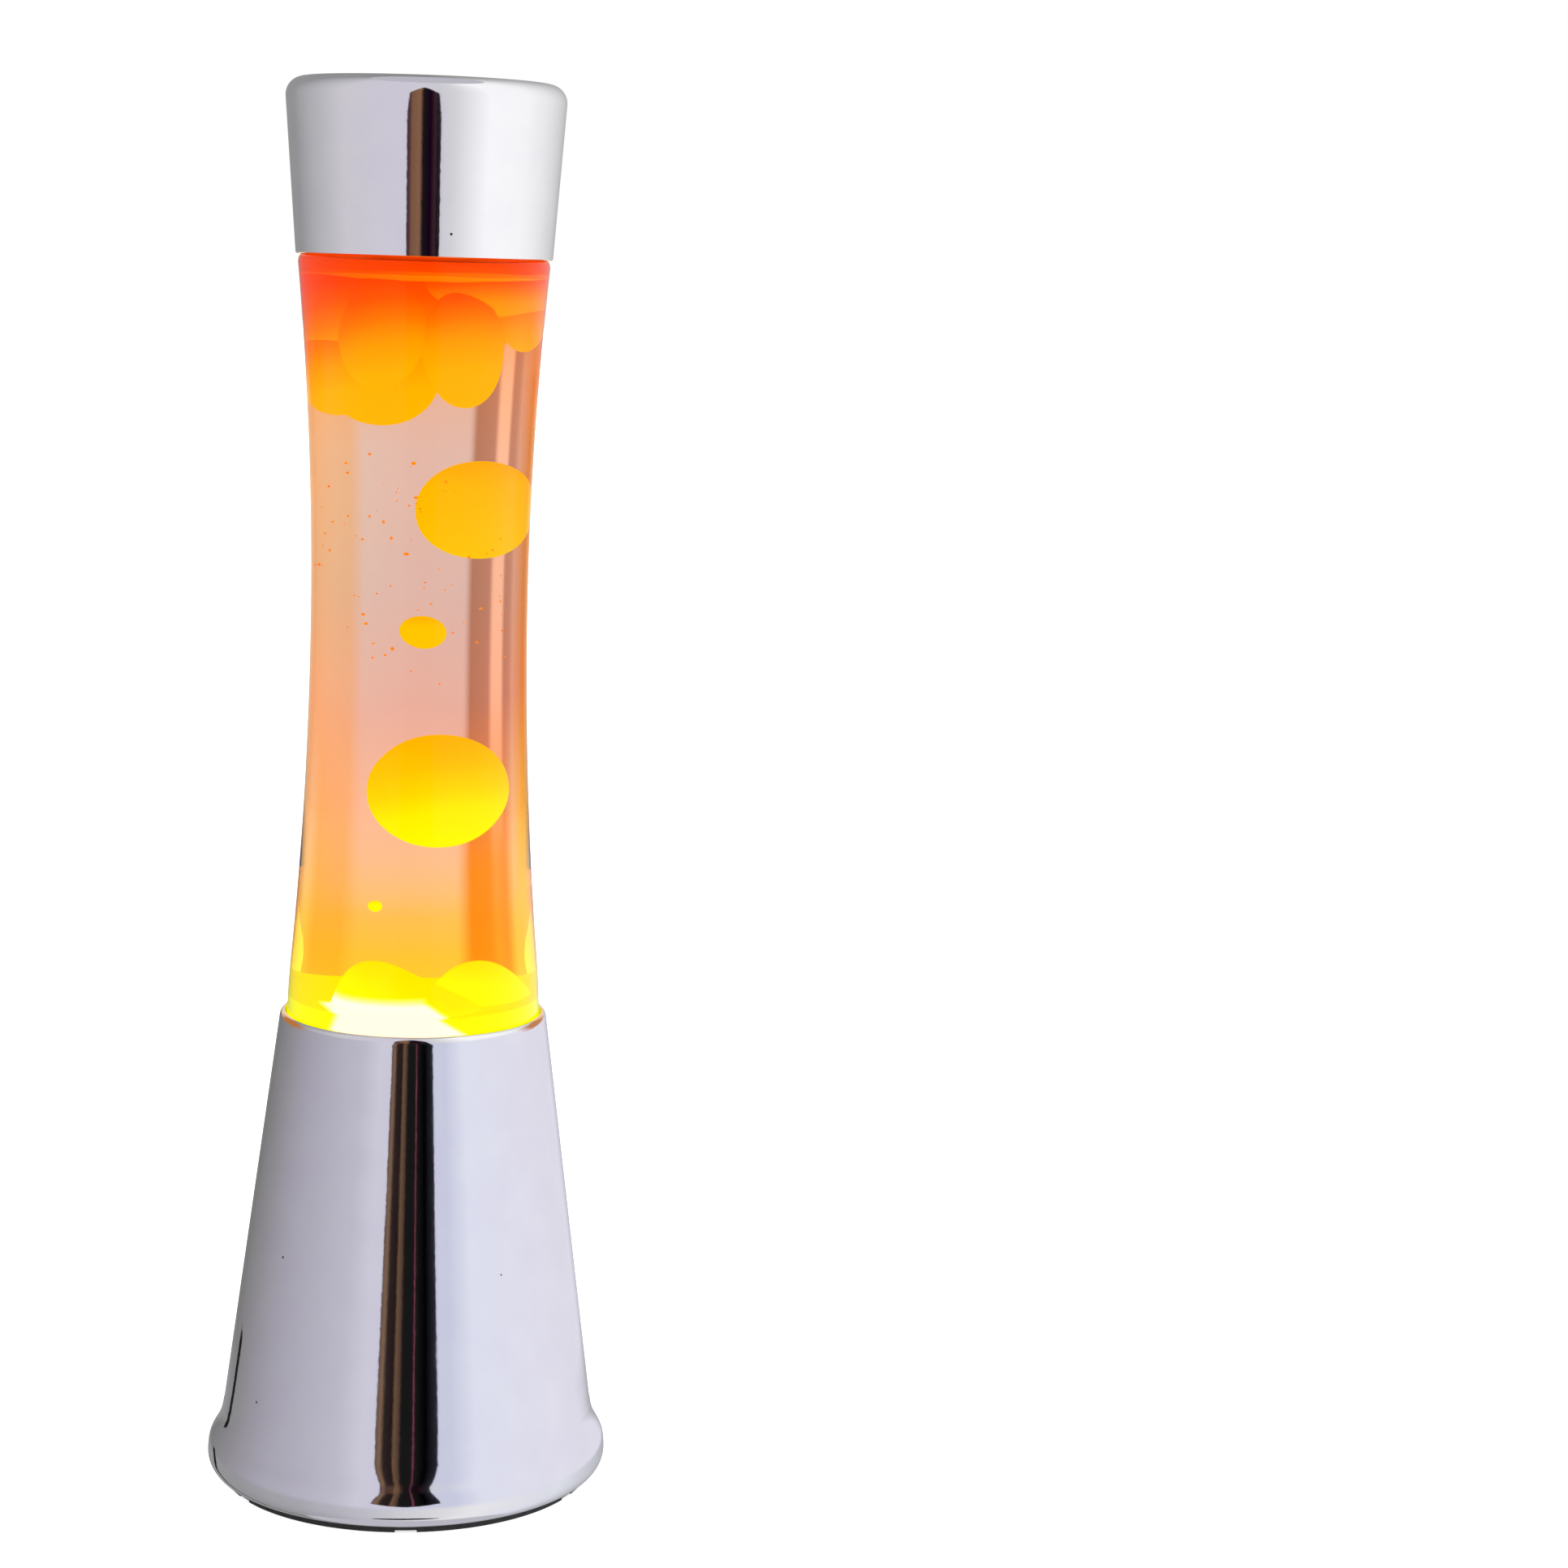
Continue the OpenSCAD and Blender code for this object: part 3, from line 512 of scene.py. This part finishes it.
link(tree, math_node(tree, "MULTIPLY", mottle.outputs["Fac"], 0.012), shader.inputs["Roughness"])
bottle.data.materials.append(clear_glass)
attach(bottle, "globe")
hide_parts("globe_glass")

# The liquid fills the bottle to its shoulder. It is clear water with a pink dye. The yellow, peach
# and amber low down over the pool, and the orange under the plug, are a painted glow that stands
# for the wax's light in the liquid. Its skin sinks just into the glass, so that no film of air
# lies between them.
wet = 0.12
liquid_in = glass_t - wet
fill_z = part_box("globe_liquid")[1].z / MM
body = [(0, bottle_z + 7.8 - wet), (8, bottle_z + 7.4 - wet), (16, bottle_z + 5.8 - wet)]
body += [(dish_r - 3, bottle_z + 3.4 - wet)]
body += arc(bottle_max_r - bottle_corner, side_low, bottle_corner - liquid_in, -80, 0, 7)
body += side_of_bottle(foot_arc_low, shoulder_low, liquid_in)
body += arc(shoulder_r - shoulder_corner, shoulder_low, shoulder_corner - liquid_in, 15, 90, 4)
body += [(24, shoulder_z - liquid_in), (18.2, fill_z), (0, fill_z)]
liquid = turned("liquid_fill", body)
pink_water_painted_glow, tree, shader, place = material("pink_liquid_painted_glow")
shader.inputs["Transmission Weight"].default_value = 1
shader.inputs["IOR"].default_value = 1.33
shader.inputs["Roughness"].default_value = 0
shader.inputs["Specular Tint"].default_value = (0, 0, 0, 1)
split = node(tree, "SeparateXYZ")
link(tree, place, split.inputs[0])
level = spread(tree, split.outputs["Z"], 0.110, 0.350)
# Painted glow: the yellow and amber at the foot and the orange at the top stand for the wax's light; the pink
# and mauve between are the dye.
dye_and_painted_glow = ramp(tree, level, [
    (0.00, 1.00, 0.76, 0.03), (0.13, 1.00, 0.70, 0.03), (0.20, 1.00, 0.60, 0.05), (0.27, 1.00, 0.60, 0.30),
    (0.36, 1.00, 0.56, 0.36), (0.46, 0.99, 0.52, 0.38), (0.61, 0.88, 0.57, 0.45), (0.77, 0.94, 0.60, 0.46),
    (0.86, 1.00, 0.54, 0.34), (1.00, 1.00, 0.34, 0.03)])
link(tree, dye_and_painted_glow, shader.inputs["Base Color"])
liquid.data.materials.append(pink_water_painted_glow)
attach(liquid, "globe")
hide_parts("globe_liquid")

# The wax's colour is an emission: a painted glow that stands for the bulb's light shining up
# through it. It is painted white over the bulb, then yellow, amber and red towards the top. Its
# underside, its front and its right side are painted brighter than its back.
painted_glow_wax, tree, shader, place = material("wax_painted_glow")
split = node(tree, "SeparateXYZ")
link(tree, place, split.inputs[0])
facing = node(tree, "NewGeometry")
facing_split = node(tree, "SeparateXYZ")
link(tree, facing.outputs["Normal"], facing_split.inputs[0])
swirl = node(tree, "TexNoise")
swirl.inputs["Scale"].default_value = 45
swirl.inputs["Detail"].default_value = 1
link(tree, place, swirl.inputs["Vector"])
# Painted light: the glow's place on the ramp follows height, and faces below, in front and on the right are
# painted brighter.
shade = math_node(tree, "MULTIPLY_ADD", facing_split.outputs["Z"], 0.009, split.outputs["Z"])
shade = math_node(tree, "MULTIPLY_ADD", swirl.outputs["Fac"], 0.003, shade)
shade = math_node(tree, "MULTIPLY_ADD", split.outputs["Y"], 0.25, shade)
shade = math_node(tree, "MULTIPLY_ADD", split.outputs["X"], -0.25, shade)
glow_fade = spread(tree, shade, 0.130, 0.350)
painted_glow_stops = [
    (0.00, 0.80, 0.96, 0.00), (0.22, 0.80, 0.96, 0.00), (0.27, 0.80, 0.90, 0.00), (0.31, 0.80, 0.72, 0.00),
    (0.36, 0.80, 0.59, 0.00), (0.52, 0.80, 0.58, 0.00), (0.58, 0.81, 0.56, 0.00), (0.68, 0.82, 0.50, 0.00),
    (0.82, 0.82, 0.48, 0.00), (0.87, 0.81, 0.38, 0.00), (0.91, 0.80, 0.22, 0.00), (0.95, 0.79, 0.11, 0.00),
    (1.00, 0.77, 0.06, 0.00)]
# Painted shade: faces that look up are darkened towards red, away from the bulb's light.
painted_top_shade = node(tree, "MapRange", interpolation_type="SMOOTHSTEP")
painted_top_shade.inputs["From Min"].default_value = 0.35
painted_top_shade.inputs["From Max"].default_value = 1.0
painted_top_shade.inputs["To Min"].default_value = 0.0
painted_top_shade.inputs["To Max"].default_value = 0.2
link(tree, facing_split.outputs["Z"], painted_top_shade.inputs["Value"])
glow_colour = mix_colour(tree, painted_top_shade.outputs["Result"], ramp(tree, glow_fade, painted_glow_stops), (0.72, 0.10, 0.0))
# Painted highlight: a white glare low at the front of the pool, where the bulb's light comes straight through
# the wax.
lower_down = spread(tree, split.outputs["Z"], 0.143, 0.1335)
heart_x = math_node(tree, "MULTIPLY_ADD", lower_down, -0.0055, 0.0085)
heart_half = math_node(tree, "MULTIPLY_ADD", lower_down, 0.0090, 0.0110)
off_heart = math_node(tree, "ABSOLUTE", math_node(tree, "ADD", split.outputs["X"], heart_x))
inside_heart = spread(tree, math_node(tree, "SUBTRACT", off_heart, heart_half), 0.001, -0.001)
under_dome = spread(tree, split.outputs["Z"], 0.1442, 0.1420)
in_front = spread(tree, split.outputs["Y"], -0.002, -0.006)
painted_bulb_glare = math_node(tree, "MULTIPLY", inside_heart, math_node(tree, "MULTIPLY", under_dome, in_front))
glow_colour = mix_colour(tree, painted_bulb_glare, glow_colour, (0.27, 0.28, 1.0))
link(tree, glow_colour, shader.inputs["Emission Color"])
link(tree, math_node(tree, "MULTIPLY_ADD", painted_bulb_glare, 3.5, 1.3), shader.inputs["Emission Strength"])
link(tree, ramp(tree, glow_fade, [(0, 0.10, 0.07, 0.00), (1, 0.08, 0.01, 0.00)]), shader.inputs["Base Color"])
shader.inputs["Roughness"].default_value = 0.6
shader.inputs["Specular IOR Level"].default_value = 0


def shaped_wax(piece, wobble, grain_size):
    """Gives soft wax its uneven skin and its material."""
    cloud = bpy.data.textures.new(piece.name, "CLOUDS")
    cloud.noise_scale = grain_size * MM
    cloud.noise_depth = 0
    deselect()
    piece.select_set(True)
    bpy.context.view_layer.objects.active = piece
    skin = piece.modifiers.new("wobble", "DISPLACE")
    skin.texture = cloud
    skin.texture_coords = "LOCAL"
    skin.strength = wobble * MM
    bpy.ops.object.modifier_apply(modifier="wobble")
    bpy.ops.object.shade_smooth()
    piece.data.materials.append(painted_glow_wax)


def ball_rings(x, y, z, rx, ry, low, high, lean=0.0, steps=28):
    """Rings of a drop: its lower half is low tall, its upper half high tall, and its top leans aside."""
    rings = []
    for i in range(steps + 1):
        turn = math.pi * i / steps
        rise = -math.cos(turn)
        tall = high if rise > 0 else low
        wide = math.sin(turn)
        rings.append((x + lean * rise, y, z + tall * rise, rx * wide, ry * wide))
    return rings


# The pool lies on the bottle's floor round the wire coil. Two mounds are rising out of it.
pool_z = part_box("globe_liquid")[0].z / MM + 2.5
in_r = bottle_r(pool_z) - glass_t - 0.2
pool_side = [(0, bottle_z + 8), (8, bottle_z + 7.6), (16, bottle_z + 6), (dish_r - 3, bottle_z + 3.6)]
pool_side += arc(bottle_max_r - bottle_corner, side_low, bottle_corner - glass_t - 0.2, -80, 0, 7)
pool_side += [(in_r, pool_z - 6), (in_r, pool_z), (in_r - 0.8, pool_z - 0.5), (in_r - 3, pool_z - 0.9)]
pool_side += [(15, pool_z - 1), (0, pool_z - 1)]
pool = turned("wax_pool_skin", pool_side)
pool.data.materials.append(painted_glow_wax)
tall_mound = stack("tall_mound", [
    (-1.5, -12, pool_z - 5, 20, 16), (-1.5, -12, pool_z - 1.5, 19, 15.3),
    (-3.5, -11.5, pool_z + 2, 15.5, 12.8), (-6.2, -11, pool_z + 5.5, 11.6, 10),
    (-8, -10.5, pool_z + 8.5, 8.2, 7.6), (-8.9, -10, pool_z + 10.6, 5.4, 5.2),
    (-9.2, -10, pool_z + 11.9, 2.8, 2.7), (-9.3, -10, pool_z + 12.2, 0, 0)], 96)
low_mound = stack("low_mound", [
    (13.5, 4, pool_z - 4, 13, 13), (13.4, 4, pool_z - 1, 10.8, 10.8), (13.2, 4, pool_z + 2.5, 9.4, 9.4),
    (13, 4, pool_z + 6, 7.2, 7.2), (13, 4, pool_z + 8.4, 4.6, 4.6), (13, 4, pool_z + 9.6, 2.2, 2.2),
    (13, 4, pool_z + 9.9, 0, 0)], 96)
for mound in (tall_mound, low_mound):
    deselect()
    mound.select_set(True)
    bpy.context.view_layer.objects.active = mound
    bpy.ops.object.mode_set(mode="EDIT")
    bpy.ops.mesh.select_all(action="DESELECT")
    bpy.ops.mesh.select_non_manifold()
    bpy.ops.mesh.edge_face_add()
    bpy.ops.mesh.select_all(action="SELECT")
    bpy.ops.mesh.normals_make_consistent(inside=False)
    bpy.ops.object.mode_set(mode="OBJECT")
    soft = mound.modifiers.new("soft", "SUBSURF")
    soft.levels = 2
    soft.render_levels = 2
    bpy.ops.object.modifier_apply(modifier="soft")
    bpy.ops.object.shade_smooth()
    mound.data.materials.append(painted_glow_wax)
deselect()
for part in (pool, tall_mound, low_mound):
    part.select_set(True)
bpy.context.view_layer.objects.active = pool
bpy.ops.object.join()
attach(pool, "globe")
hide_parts("wax_pool")

# At the top the wax has gathered into a plug that fills the shoulder, with cooling lobes that hang
# from it and are about to sink again.
lobes = [
    ball_rings(-10.0, -11, 327.5, 10.6, 10.5, 16, 16, 0.5),
    ball_rings(9.0, -9, 323.5, 9.6, 10.5, 16, 16, -0.5),
    ball_rings(-8.6, 1, 314, 11.6, 12, 12.6, 18, 0.0),
    ball_rings(-18.2, 0, 314.5, 10.6, 13, 10.6, 22, 0.0),
    ball_rings(19.8, 6, 334, 5.6, 7, 11.5, 9, 0.0),
    ball_rings(-5, 8, 330, 21.5, 17, 18, 18, 0.0),
    ball_rings(-17, 1, 335, 13.8, 16, 18, 12, 0.0),
    ball_rings(14, 4, 340, 16, 18, 8, 7, 0.0),
]
plug_low = 341.0
plug_side = [(0, plug_low + 1), (14, plug_low), (24, plug_low + 1)]
plug_side += [(bottle_r(z) - glass_t - 0.3, z) for z in (plug_low + 1.5, plug_low + 2.5)]
plug_side += [(26, shoulder_z - glass_t - 0.9), (0, shoulder_z - glass_t - 0.9)]
wax_top = turned("wax_top_skin", plug_side, 128)
parts = [wax_top]
for number, rings in enumerate(lobes):
    lobe = stack("lobe_%d" % number, rings, 64)
    parts.append(lobe)
for part in parts:
    shaped_wax(part, 0.8, 14)
deselect()
for part in parts:
    part.select_set(True)
bpy.context.view_layer.objects.active = wax_top
bpy.ops.object.join()
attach(wax_top, "globe")
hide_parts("wax_top")


# Four drops of wax float free between the pool and the plug, each of them a soft ball that is
# drawn out a little by its own rise.
def drop(cad_node, body, name, rx, ry, low, high, lean, wobble):
    box_low, box_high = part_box(cad_node)
    middle = (box_low + box_high) / 2 / MM
    made = stack(name, ball_rings(middle.x, middle.y, middle.z, rx, ry, low, high, lean), 64)
    shaped_wax(made, wobble, 12)
    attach(made, body)
    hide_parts(cad_node)


drop("wax_blob_upper", "blob_upper", "upper_blob_skin", 13.7, 13.4, 13.8, 13.4, 0.4, 0.5)
drop("wax_blob_middle", "blob_middle", "middle_blob_skin", 4.9, 4.7, 4.7, 4.4, -0.3, 0.25)
drop("wax_blob_lower", "blob_lower", "lower_blob_skin", 15.1, 15.0, 16.0, 16.0, 0.4, 0.5)
drop("wax_droplet", "droplet", "droplet_skin", 1.55, 1.5, 1.6, 1.6, 0.0, 0.05)

# Specks of wax too small to sink or rise hang near the wall at the waist, clear of the upper
# drop's way up and down.
# The specks' orange is an emission: a painted glow that stands for the bulb's light shining through them.
speck_painted_glow, tree, shader, place = material("wax_specks")
speckle = node(tree, "TexNoise")
speckle.inputs["Scale"].default_value = 200
link(tree, place, speckle.inputs["Vector"])
link(tree, ramp(tree, speckle.outputs["Fac"], [(0.3, 1, 0.20, 0.0), (0.7, 1, 0.38, 0.0)]),
     shader.inputs["Emission Color"])
shader.inputs["Base Color"].default_value = (0.3, 0.05, 0, 1)
shader.inputs["Emission Strength"].default_value = 1
dice = random.Random(7)
blob_low, blob_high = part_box("wax_blob_upper")
way_middle = (blob_low + blob_high) / 2 / MM
specks = []
for number in range(110):
    height = dice.triangular(228, 303, 268)
    turn = dice.uniform(0, 2 * math.pi)
    reach = (bottle_r(height) - glass_t - 1) * dice.uniform(0.55, 1)
    size = dice.triangular(0.12, 0.5, 0.2)
    speck_x = reach * math.cos(turn)
    speck_y = reach * math.sin(turn)
    if math.hypot(speck_x - way_middle.x, speck_y - way_middle.y) < 16 and abs(height - way_middle.z) < 23:
        continue
    deselect()
    bpy.ops.mesh.primitive_ico_sphere_add(subdivisions=2, radius=size * MM,
                                          location=(speck_x * MM, speck_y * MM, height * MM))
    bpy.ops.transform.resize(value=(1, 1, dice.uniform(0.8, 1.3)))
    bpy.ops.object.transform_apply(location=True, scale=True)
    specks.append(bpy.context.object)
deselect()
for speck in specks:
    speck.select_set(True)
bpy.context.view_layer.objects.active = specks[0]
bpy.ops.object.join()
speck_cloud = bpy.context.object
speck_cloud.name = "wax_specks"
bpy.ops.object.shade_smooth()
speck_cloud.data.materials.append(speck_painted_glow)
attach(speck_cloud, "globe")

# The crown on the bottle's neck is gold tinplate, fluted all round its skirt and pressed smooth on
# top, with a white liner under it.
crown_low, crown_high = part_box("crown_cap")
skirt_z = crown_low.z / MM
crown_z = crown_high.z / MM
crown_r = crown_high.x / MM - 1
FLUTES = 21
crown_side = [(0, crown_z - 0.45), (13.0, crown_z - 0.45), (13.7, crown_z - 1.1), (13.7, skirt_z + 0.2)]
crown_side += [(14.1, skirt_z), (crown_r, skirt_z + 0.3), (crown_r, skirt_z + 2), (crown_r, crown_z - 2.6)]
crown_side += [(crown_r - 0.3, crown_z - 1.3), (crown_r - 1.3, crown_z - 0.3), (crown_r - 3, crown_z)]
crown_side += [(6, crown_z), (5.5, crown_z - 0.15), (0, crown_z - 0.15)]
crown = turned("crown_skin", crown_side, 8 * FLUTES)
inner_skirt_r = 13.9
flute_top_z = crown_z - 1.2
for corner in crown.data.vertices:
    reach = math.hypot(corner.co.x, corner.co.y)
    below_top = (flute_top_z - corner.co.z / MM) / (flute_top_z - skirt_z)
    if reach > inner_skirt_r * MM and below_top > 0:
        wave = 0.5 + 0.5 * math.cos(FLUTES * math.atan2(corner.co.y, corner.co.x))
        grow = 1 + below_top * wave * MM / reach
        corner.co.x *= grow
        corner.co.y *= grow


def patterned(name, dark, light, scale, rough, metal=0.0, depth=0.03):
    """A finish with mottled colour and gloss and a fine grain. Scale is in grains a metre."""
    made, tree, shader, place = material(name)
    grain = node(tree, "TexNoise")
    grain.inputs["Scale"].default_value = scale
    grain.inputs["Detail"].default_value = 5
    link(tree, place, grain.inputs["Vector"])
    link(tree, ramp(tree, grain.outputs["Fac"], [(0.35, *dark), (0.65, *light)]), shader.inputs["Base Color"])
    gloss = math_node(tree, "MULTIPLY_ADD", grain.outputs["Fac"], 0.2, rough - 0.1)
    link(tree, gloss, shader.inputs["Roughness"])
    shader.inputs["Metallic"].default_value = metal
    rise = node(tree, "Bump")
    rise.inputs["Strength"].default_value = 0.5
    rise.inputs["Distance"].default_value = depth * MM
    link(tree, grain.outputs["Fac"], rise.inputs["Height"])
    link(tree, rise.outputs[0], shader.inputs["Normal"])
    return made


def finish_nodes(look, *cad_nodes):
    """Gives its finish to each CAD node that is shown as it is."""
    for cad_node in cad_nodes:
        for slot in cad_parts[cad_node].material_slots:
            slot.material = look


gold_tinplate = patterned("gold_tinplate", (0.62, 0.42, 0.12), (0.80, 0.58, 0.20), 300, 0.28, 1.0)
crown.data.materials.append(gold_tinplate)
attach(crown, "globe")
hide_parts("crown_cap")
white_plastic = patterned("white_plastic", (0.74, 0.74, 0.70), (0.84, 0.84, 0.81), 400, 0.45)
finish_nodes(white_plastic, "crown_liner", "terminal_block")

# The foam ring in the cap is charcoal and open-celled. It is glued inside the cap's wall and
# rests on the bottle's shoulder.
foam, tree, shader, place = material("foam")
cells = node(tree, "TexVoronoi")
cells.inputs["Scale"].default_value = 900
link(tree, place, cells.inputs["Vector"])
# The charcoal is the foam's own colour; the darker cell middles, where the bump sinks into pits, are painted
# shade.
link(tree, ramp(tree, cells.outputs["Distance"], [(0.1, 0.02, 0.02, 0.02), (0.6, 0.09, 0.09, 0.10)]),
     shader.inputs["Base Color"])
shader.inputs["Roughness"].default_value = 0.95
pits = node(tree, "Bump")
pits.inputs["Strength"].default_value = 0.9
pits.inputs["Distance"].default_value = 0.0004
link(tree, cells.outputs["Distance"], pits.inputs["Height"])
link(tree, pits.outputs[0], shader.inputs["Normal"])
finish_nodes(foam, "cap_pad")

# The coil in the wax is one long spring of bright wire, bent round into a ring. It lies loose on
# the bottle's floor, where it breaks up the wax and spreads the heat.
coil_low, coil_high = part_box("heat_coil")
coil_z = (coil_low.z + coil_high.z) / 2 / MM
tube_r = (coil_high.z - coil_low.z) / 2 / MM
ring_r = coil_high.x / MM - tube_r
wire_r = 0.35
winds = 72
wind_steps = 14
deselect()
bpy.ops.mesh.primitive_circle_add(vertices=8, radius=wire_r * MM, rotation=(math.radians(90), 0, 0),
                                  location=((tube_r - wire_r) * MM, 0, 0))
heat_coil = bpy.context.object
heat_coil.name = "heat_coil_wire"
bpy.ops.object.transform_apply(location=True, rotation=True)
winding = heat_coil.modifiers.new("winding", "SCREW")
winding.angle = 2 * math.pi
winding.screw_offset = 2 * math.pi * ring_r * MM / winds
winding.iterations = winds
winding.steps = wind_steps
winding.render_steps = wind_steps
bpy.ops.object.modifier_apply(modifier="winding")
bpy.ops.object.mode_set(mode="EDIT")
bpy.ops.mesh.select_all(action="SELECT")
bpy.ops.transform.rotate(value=math.pi / 2, orient_axis="Y", center_override=(0, 0, 0))
bpy.ops.mesh.select_all(action="DESELECT")
bpy.ops.mesh.select_non_manifold()
bpy.ops.mesh.edge_face_add()
bpy.ops.mesh.select_all(action="SELECT")
bpy.ops.mesh.normals_make_consistent(inside=False)
bpy.ops.object.mode_set(mode="OBJECT")
closing = heat_coil.modifiers.new("closing", "SIMPLE_DEFORM")
closing.deform_method = "BEND"
closing.deform_axis = "Z"
closing.angle = 2 * math.pi
bpy.ops.object.modifier_apply(modifier="closing")
corners = [corner.co for corner in heat_coil.data.vertices]
middle_x = (min(c.x for c in corners) + max(c.x for c in corners)) / 2
middle_y = (min(c.y for c in corners) + max(c.y for c in corners)) / 2
heat_coil.location = (-middle_x, -middle_y, coil_z * MM)
bpy.ops.object.transform_apply(location=True)
bpy.ops.object.shade_smooth()
nickel = patterned("nickel", (0.58, 0.56, 0.53), (0.70, 0.68, 0.65), 500, 0.25, 1.0, 0.01)
heat_coil.data.materials.append(nickel)
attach(heat_coil, "globe")
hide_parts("heat_coil")

# The bulb's envelope is blown glass, silvered inside below its widest line. Above that line it is
# frosted, and glows.
bulb_low, bulb_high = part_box("bulb_glass")
bulb_finish, tree, shader, place = material("bulb_glass")
split = node(tree, "SeparateXYZ")
link(tree, place, split.inputs[0])
frost = node(tree, "TexNoise")
frost.inputs["Scale"].default_value = 1200
link(tree, place, frost.inputs["Vector"])
ragged = math_node(tree, "MULTIPLY_ADD", frost.outputs["Fac"], 0.001, split.outputs["Z"])
crown_share = spread(tree, ragged, bulb_high.z - 0.0135, bulb_high.z - 0.0125)
link(tree, mix_colour(tree, crown_share, (0.75, 0.75, 0.76), (0.90, 0.86, 0.78)), shader.inputs["Base Color"])
link(tree, math_node(tree, "SUBTRACT", 1, crown_share), shader.inputs["Metallic"])
link(tree, math_node(tree, "MULTIPLY_ADD", crown_share, 0.4, 0.08), shader.inputs["Roughness"])
shader.inputs["Emission Color"].default_value = (1, 0.82, 0.5, 1)
link(tree, math_node(tree, "MULTIPLY", crown_share, 3), shader.inputs["Emission Strength"])
finish_nodes(bulb_finish, "bulb_glass")

# Inside it a glass stem carries two wires and a coiled tungsten filament, seen only if the glass
# is off. Below are its nickel cap, black glass insulator and solder tip.
stem_glass = patterned("stem_glass", (0.80, 0.84, 0.84), (0.90, 0.93, 0.93), 300, 0.15)
finish_nodes(stem_glass, "bulb_stem")
filament, tree, shader, place = material("filament")
coils = node(tree, "TexWave", bands_direction="X")
coils.inputs["Scale"].default_value = 900
link(tree, place, coils.inputs["Vector"])
link(tree, ramp(tree, coils.outputs["Fac"], [(0.3, 0.9, 0.35, 0.05), (0.7, 1, 0.85, 0.5)]),
     shader.inputs["Emission Color"])
shader.inputs["Emission Strength"].default_value = 6
finish_nodes(filament, "bulb_filament")
finish_nodes(nickel, "bulb_cap", "bulb_supports")
solder = patterned("solder", (0.45, 0.45, 0.46), (0.60, 0.60, 0.61), 900, 0.35, 1.0, 0.05)
finish_nodes(solder, "bulb_tip")
black_glass = patterned("black_glass", (0.010, 0.010, 0.012), (0.022, 0.022, 0.026), 300, 0.2)
finish_nodes(black_glass, "bulb_insulator")

# The bottle stands in a black moulded seat on a milky silicone ring. The bottom plate and the
# cord's clamp are moulded in the same black plastic.
black_plastic = patterned("black_plastic", (0.012, 0.012, 0.013), (0.028, 0.028, 0.030), 1500, 0.5, 0.0, 0.06)
finish_nodes(black_plastic, "globe_seat", "bottom_plate", "cord_clamp")
silicone, tree, shader, place = material("silicone")
bloom = node(tree, "TexNoise")
bloom.inputs["Scale"].default_value = 250
link(tree, place, bloom.inputs["Vector"])
link(tree, ramp(tree, bloom.outputs["Fac"], [(0.3, 0.62, 0.62, 0.60), (0.7, 0.74, 0.74, 0.72)]),
     shader.inputs["Base Color"])
link(tree, math_node(tree, "MULTIPLY_ADD", bloom.outputs["Fac"], 0.2, 0.4), shader.inputs["Roughness"])
shader.inputs["Subsurface Weight"].default_value = 0.2
shader.inputs["Subsurface Scale"].default_value = 0.002
finish_nodes(silicone, "seat_gasket")

# The foot ring and the cord's gland are matt black rubber with a dusty bloom. The ring is glued
# under the base's hem, and the gland is pushed into the rear wall.
rubber = patterned("black_rubber", (0.006, 0.006, 0.006), (0.016, 0.016, 0.017), 700, 0.75, 0.0, 0.05)
finish_nodes(rubber, "foot_ring", "cable_gland")

# Brackets, screws and nuts are steel, zinc-plated, with the plating's cloudy spangle in flakes
# a few millimetres across.
zinc, tree, shader, place = material("zinc_steel")
spangle = node(tree, "TexVoronoi")
spangle.inputs["Scale"].default_value = 350
link(tree, place, spangle.inputs["Vector"])
spangle_split = node(tree, "SeparateXYZ")
link(tree, spangle.outputs["Color"], spangle_split.inputs[0])
link(tree, ramp(tree, spangle_split.outputs["X"], [(0, 0.50, 0.51, 0.53), (1, 0.66, 0.67, 0.68)]),
     shader.inputs["Base Color"])
link(tree, math_node(tree, "MULTIPLY_ADD", spangle_split.outputs["Y"], 0.15, 0.25),
     shader.inputs["Roughness"])
shader.inputs["Metallic"].default_value = 1
finish_nodes(zinc, "plate_brackets", "plate_screws", "holder_bracket", "bracket_screws", "bracket_nuts",
             "contact_screws", "block_screw", "clamp_screws")

# The lampholder is dark moulded plastic with brass contacts, fed by a brown and a blue lead.
holder_plastic = patterned("holder_plastic", (0.020, 0.014, 0.010), (0.040, 0.028, 0.020), 600, 0.35)
finish_nodes(holder_plastic, "holder_body")
brass = patterned("brass", (0.62, 0.44, 0.16), (0.78, 0.58, 0.24), 500, 0.3, 1.0, 0.01)
finish_nodes(brass, "holder_nipple", "holder_nut", "contact_sleeve", "centre_contact", "terminal_screws")
brown_insulation = patterned("brown_insulation", (0.10, 0.035, 0.012), (0.15, 0.055, 0.020), 800, 0.45)
finish_nodes(brown_insulation, "live_wire")
blue_insulation = patterned("blue_insulation", (0.010, 0.045, 0.22), (0.018, 0.070, 0.32), 800, 0.45)
finish_nodes(blue_insulation, "neutral_wire")
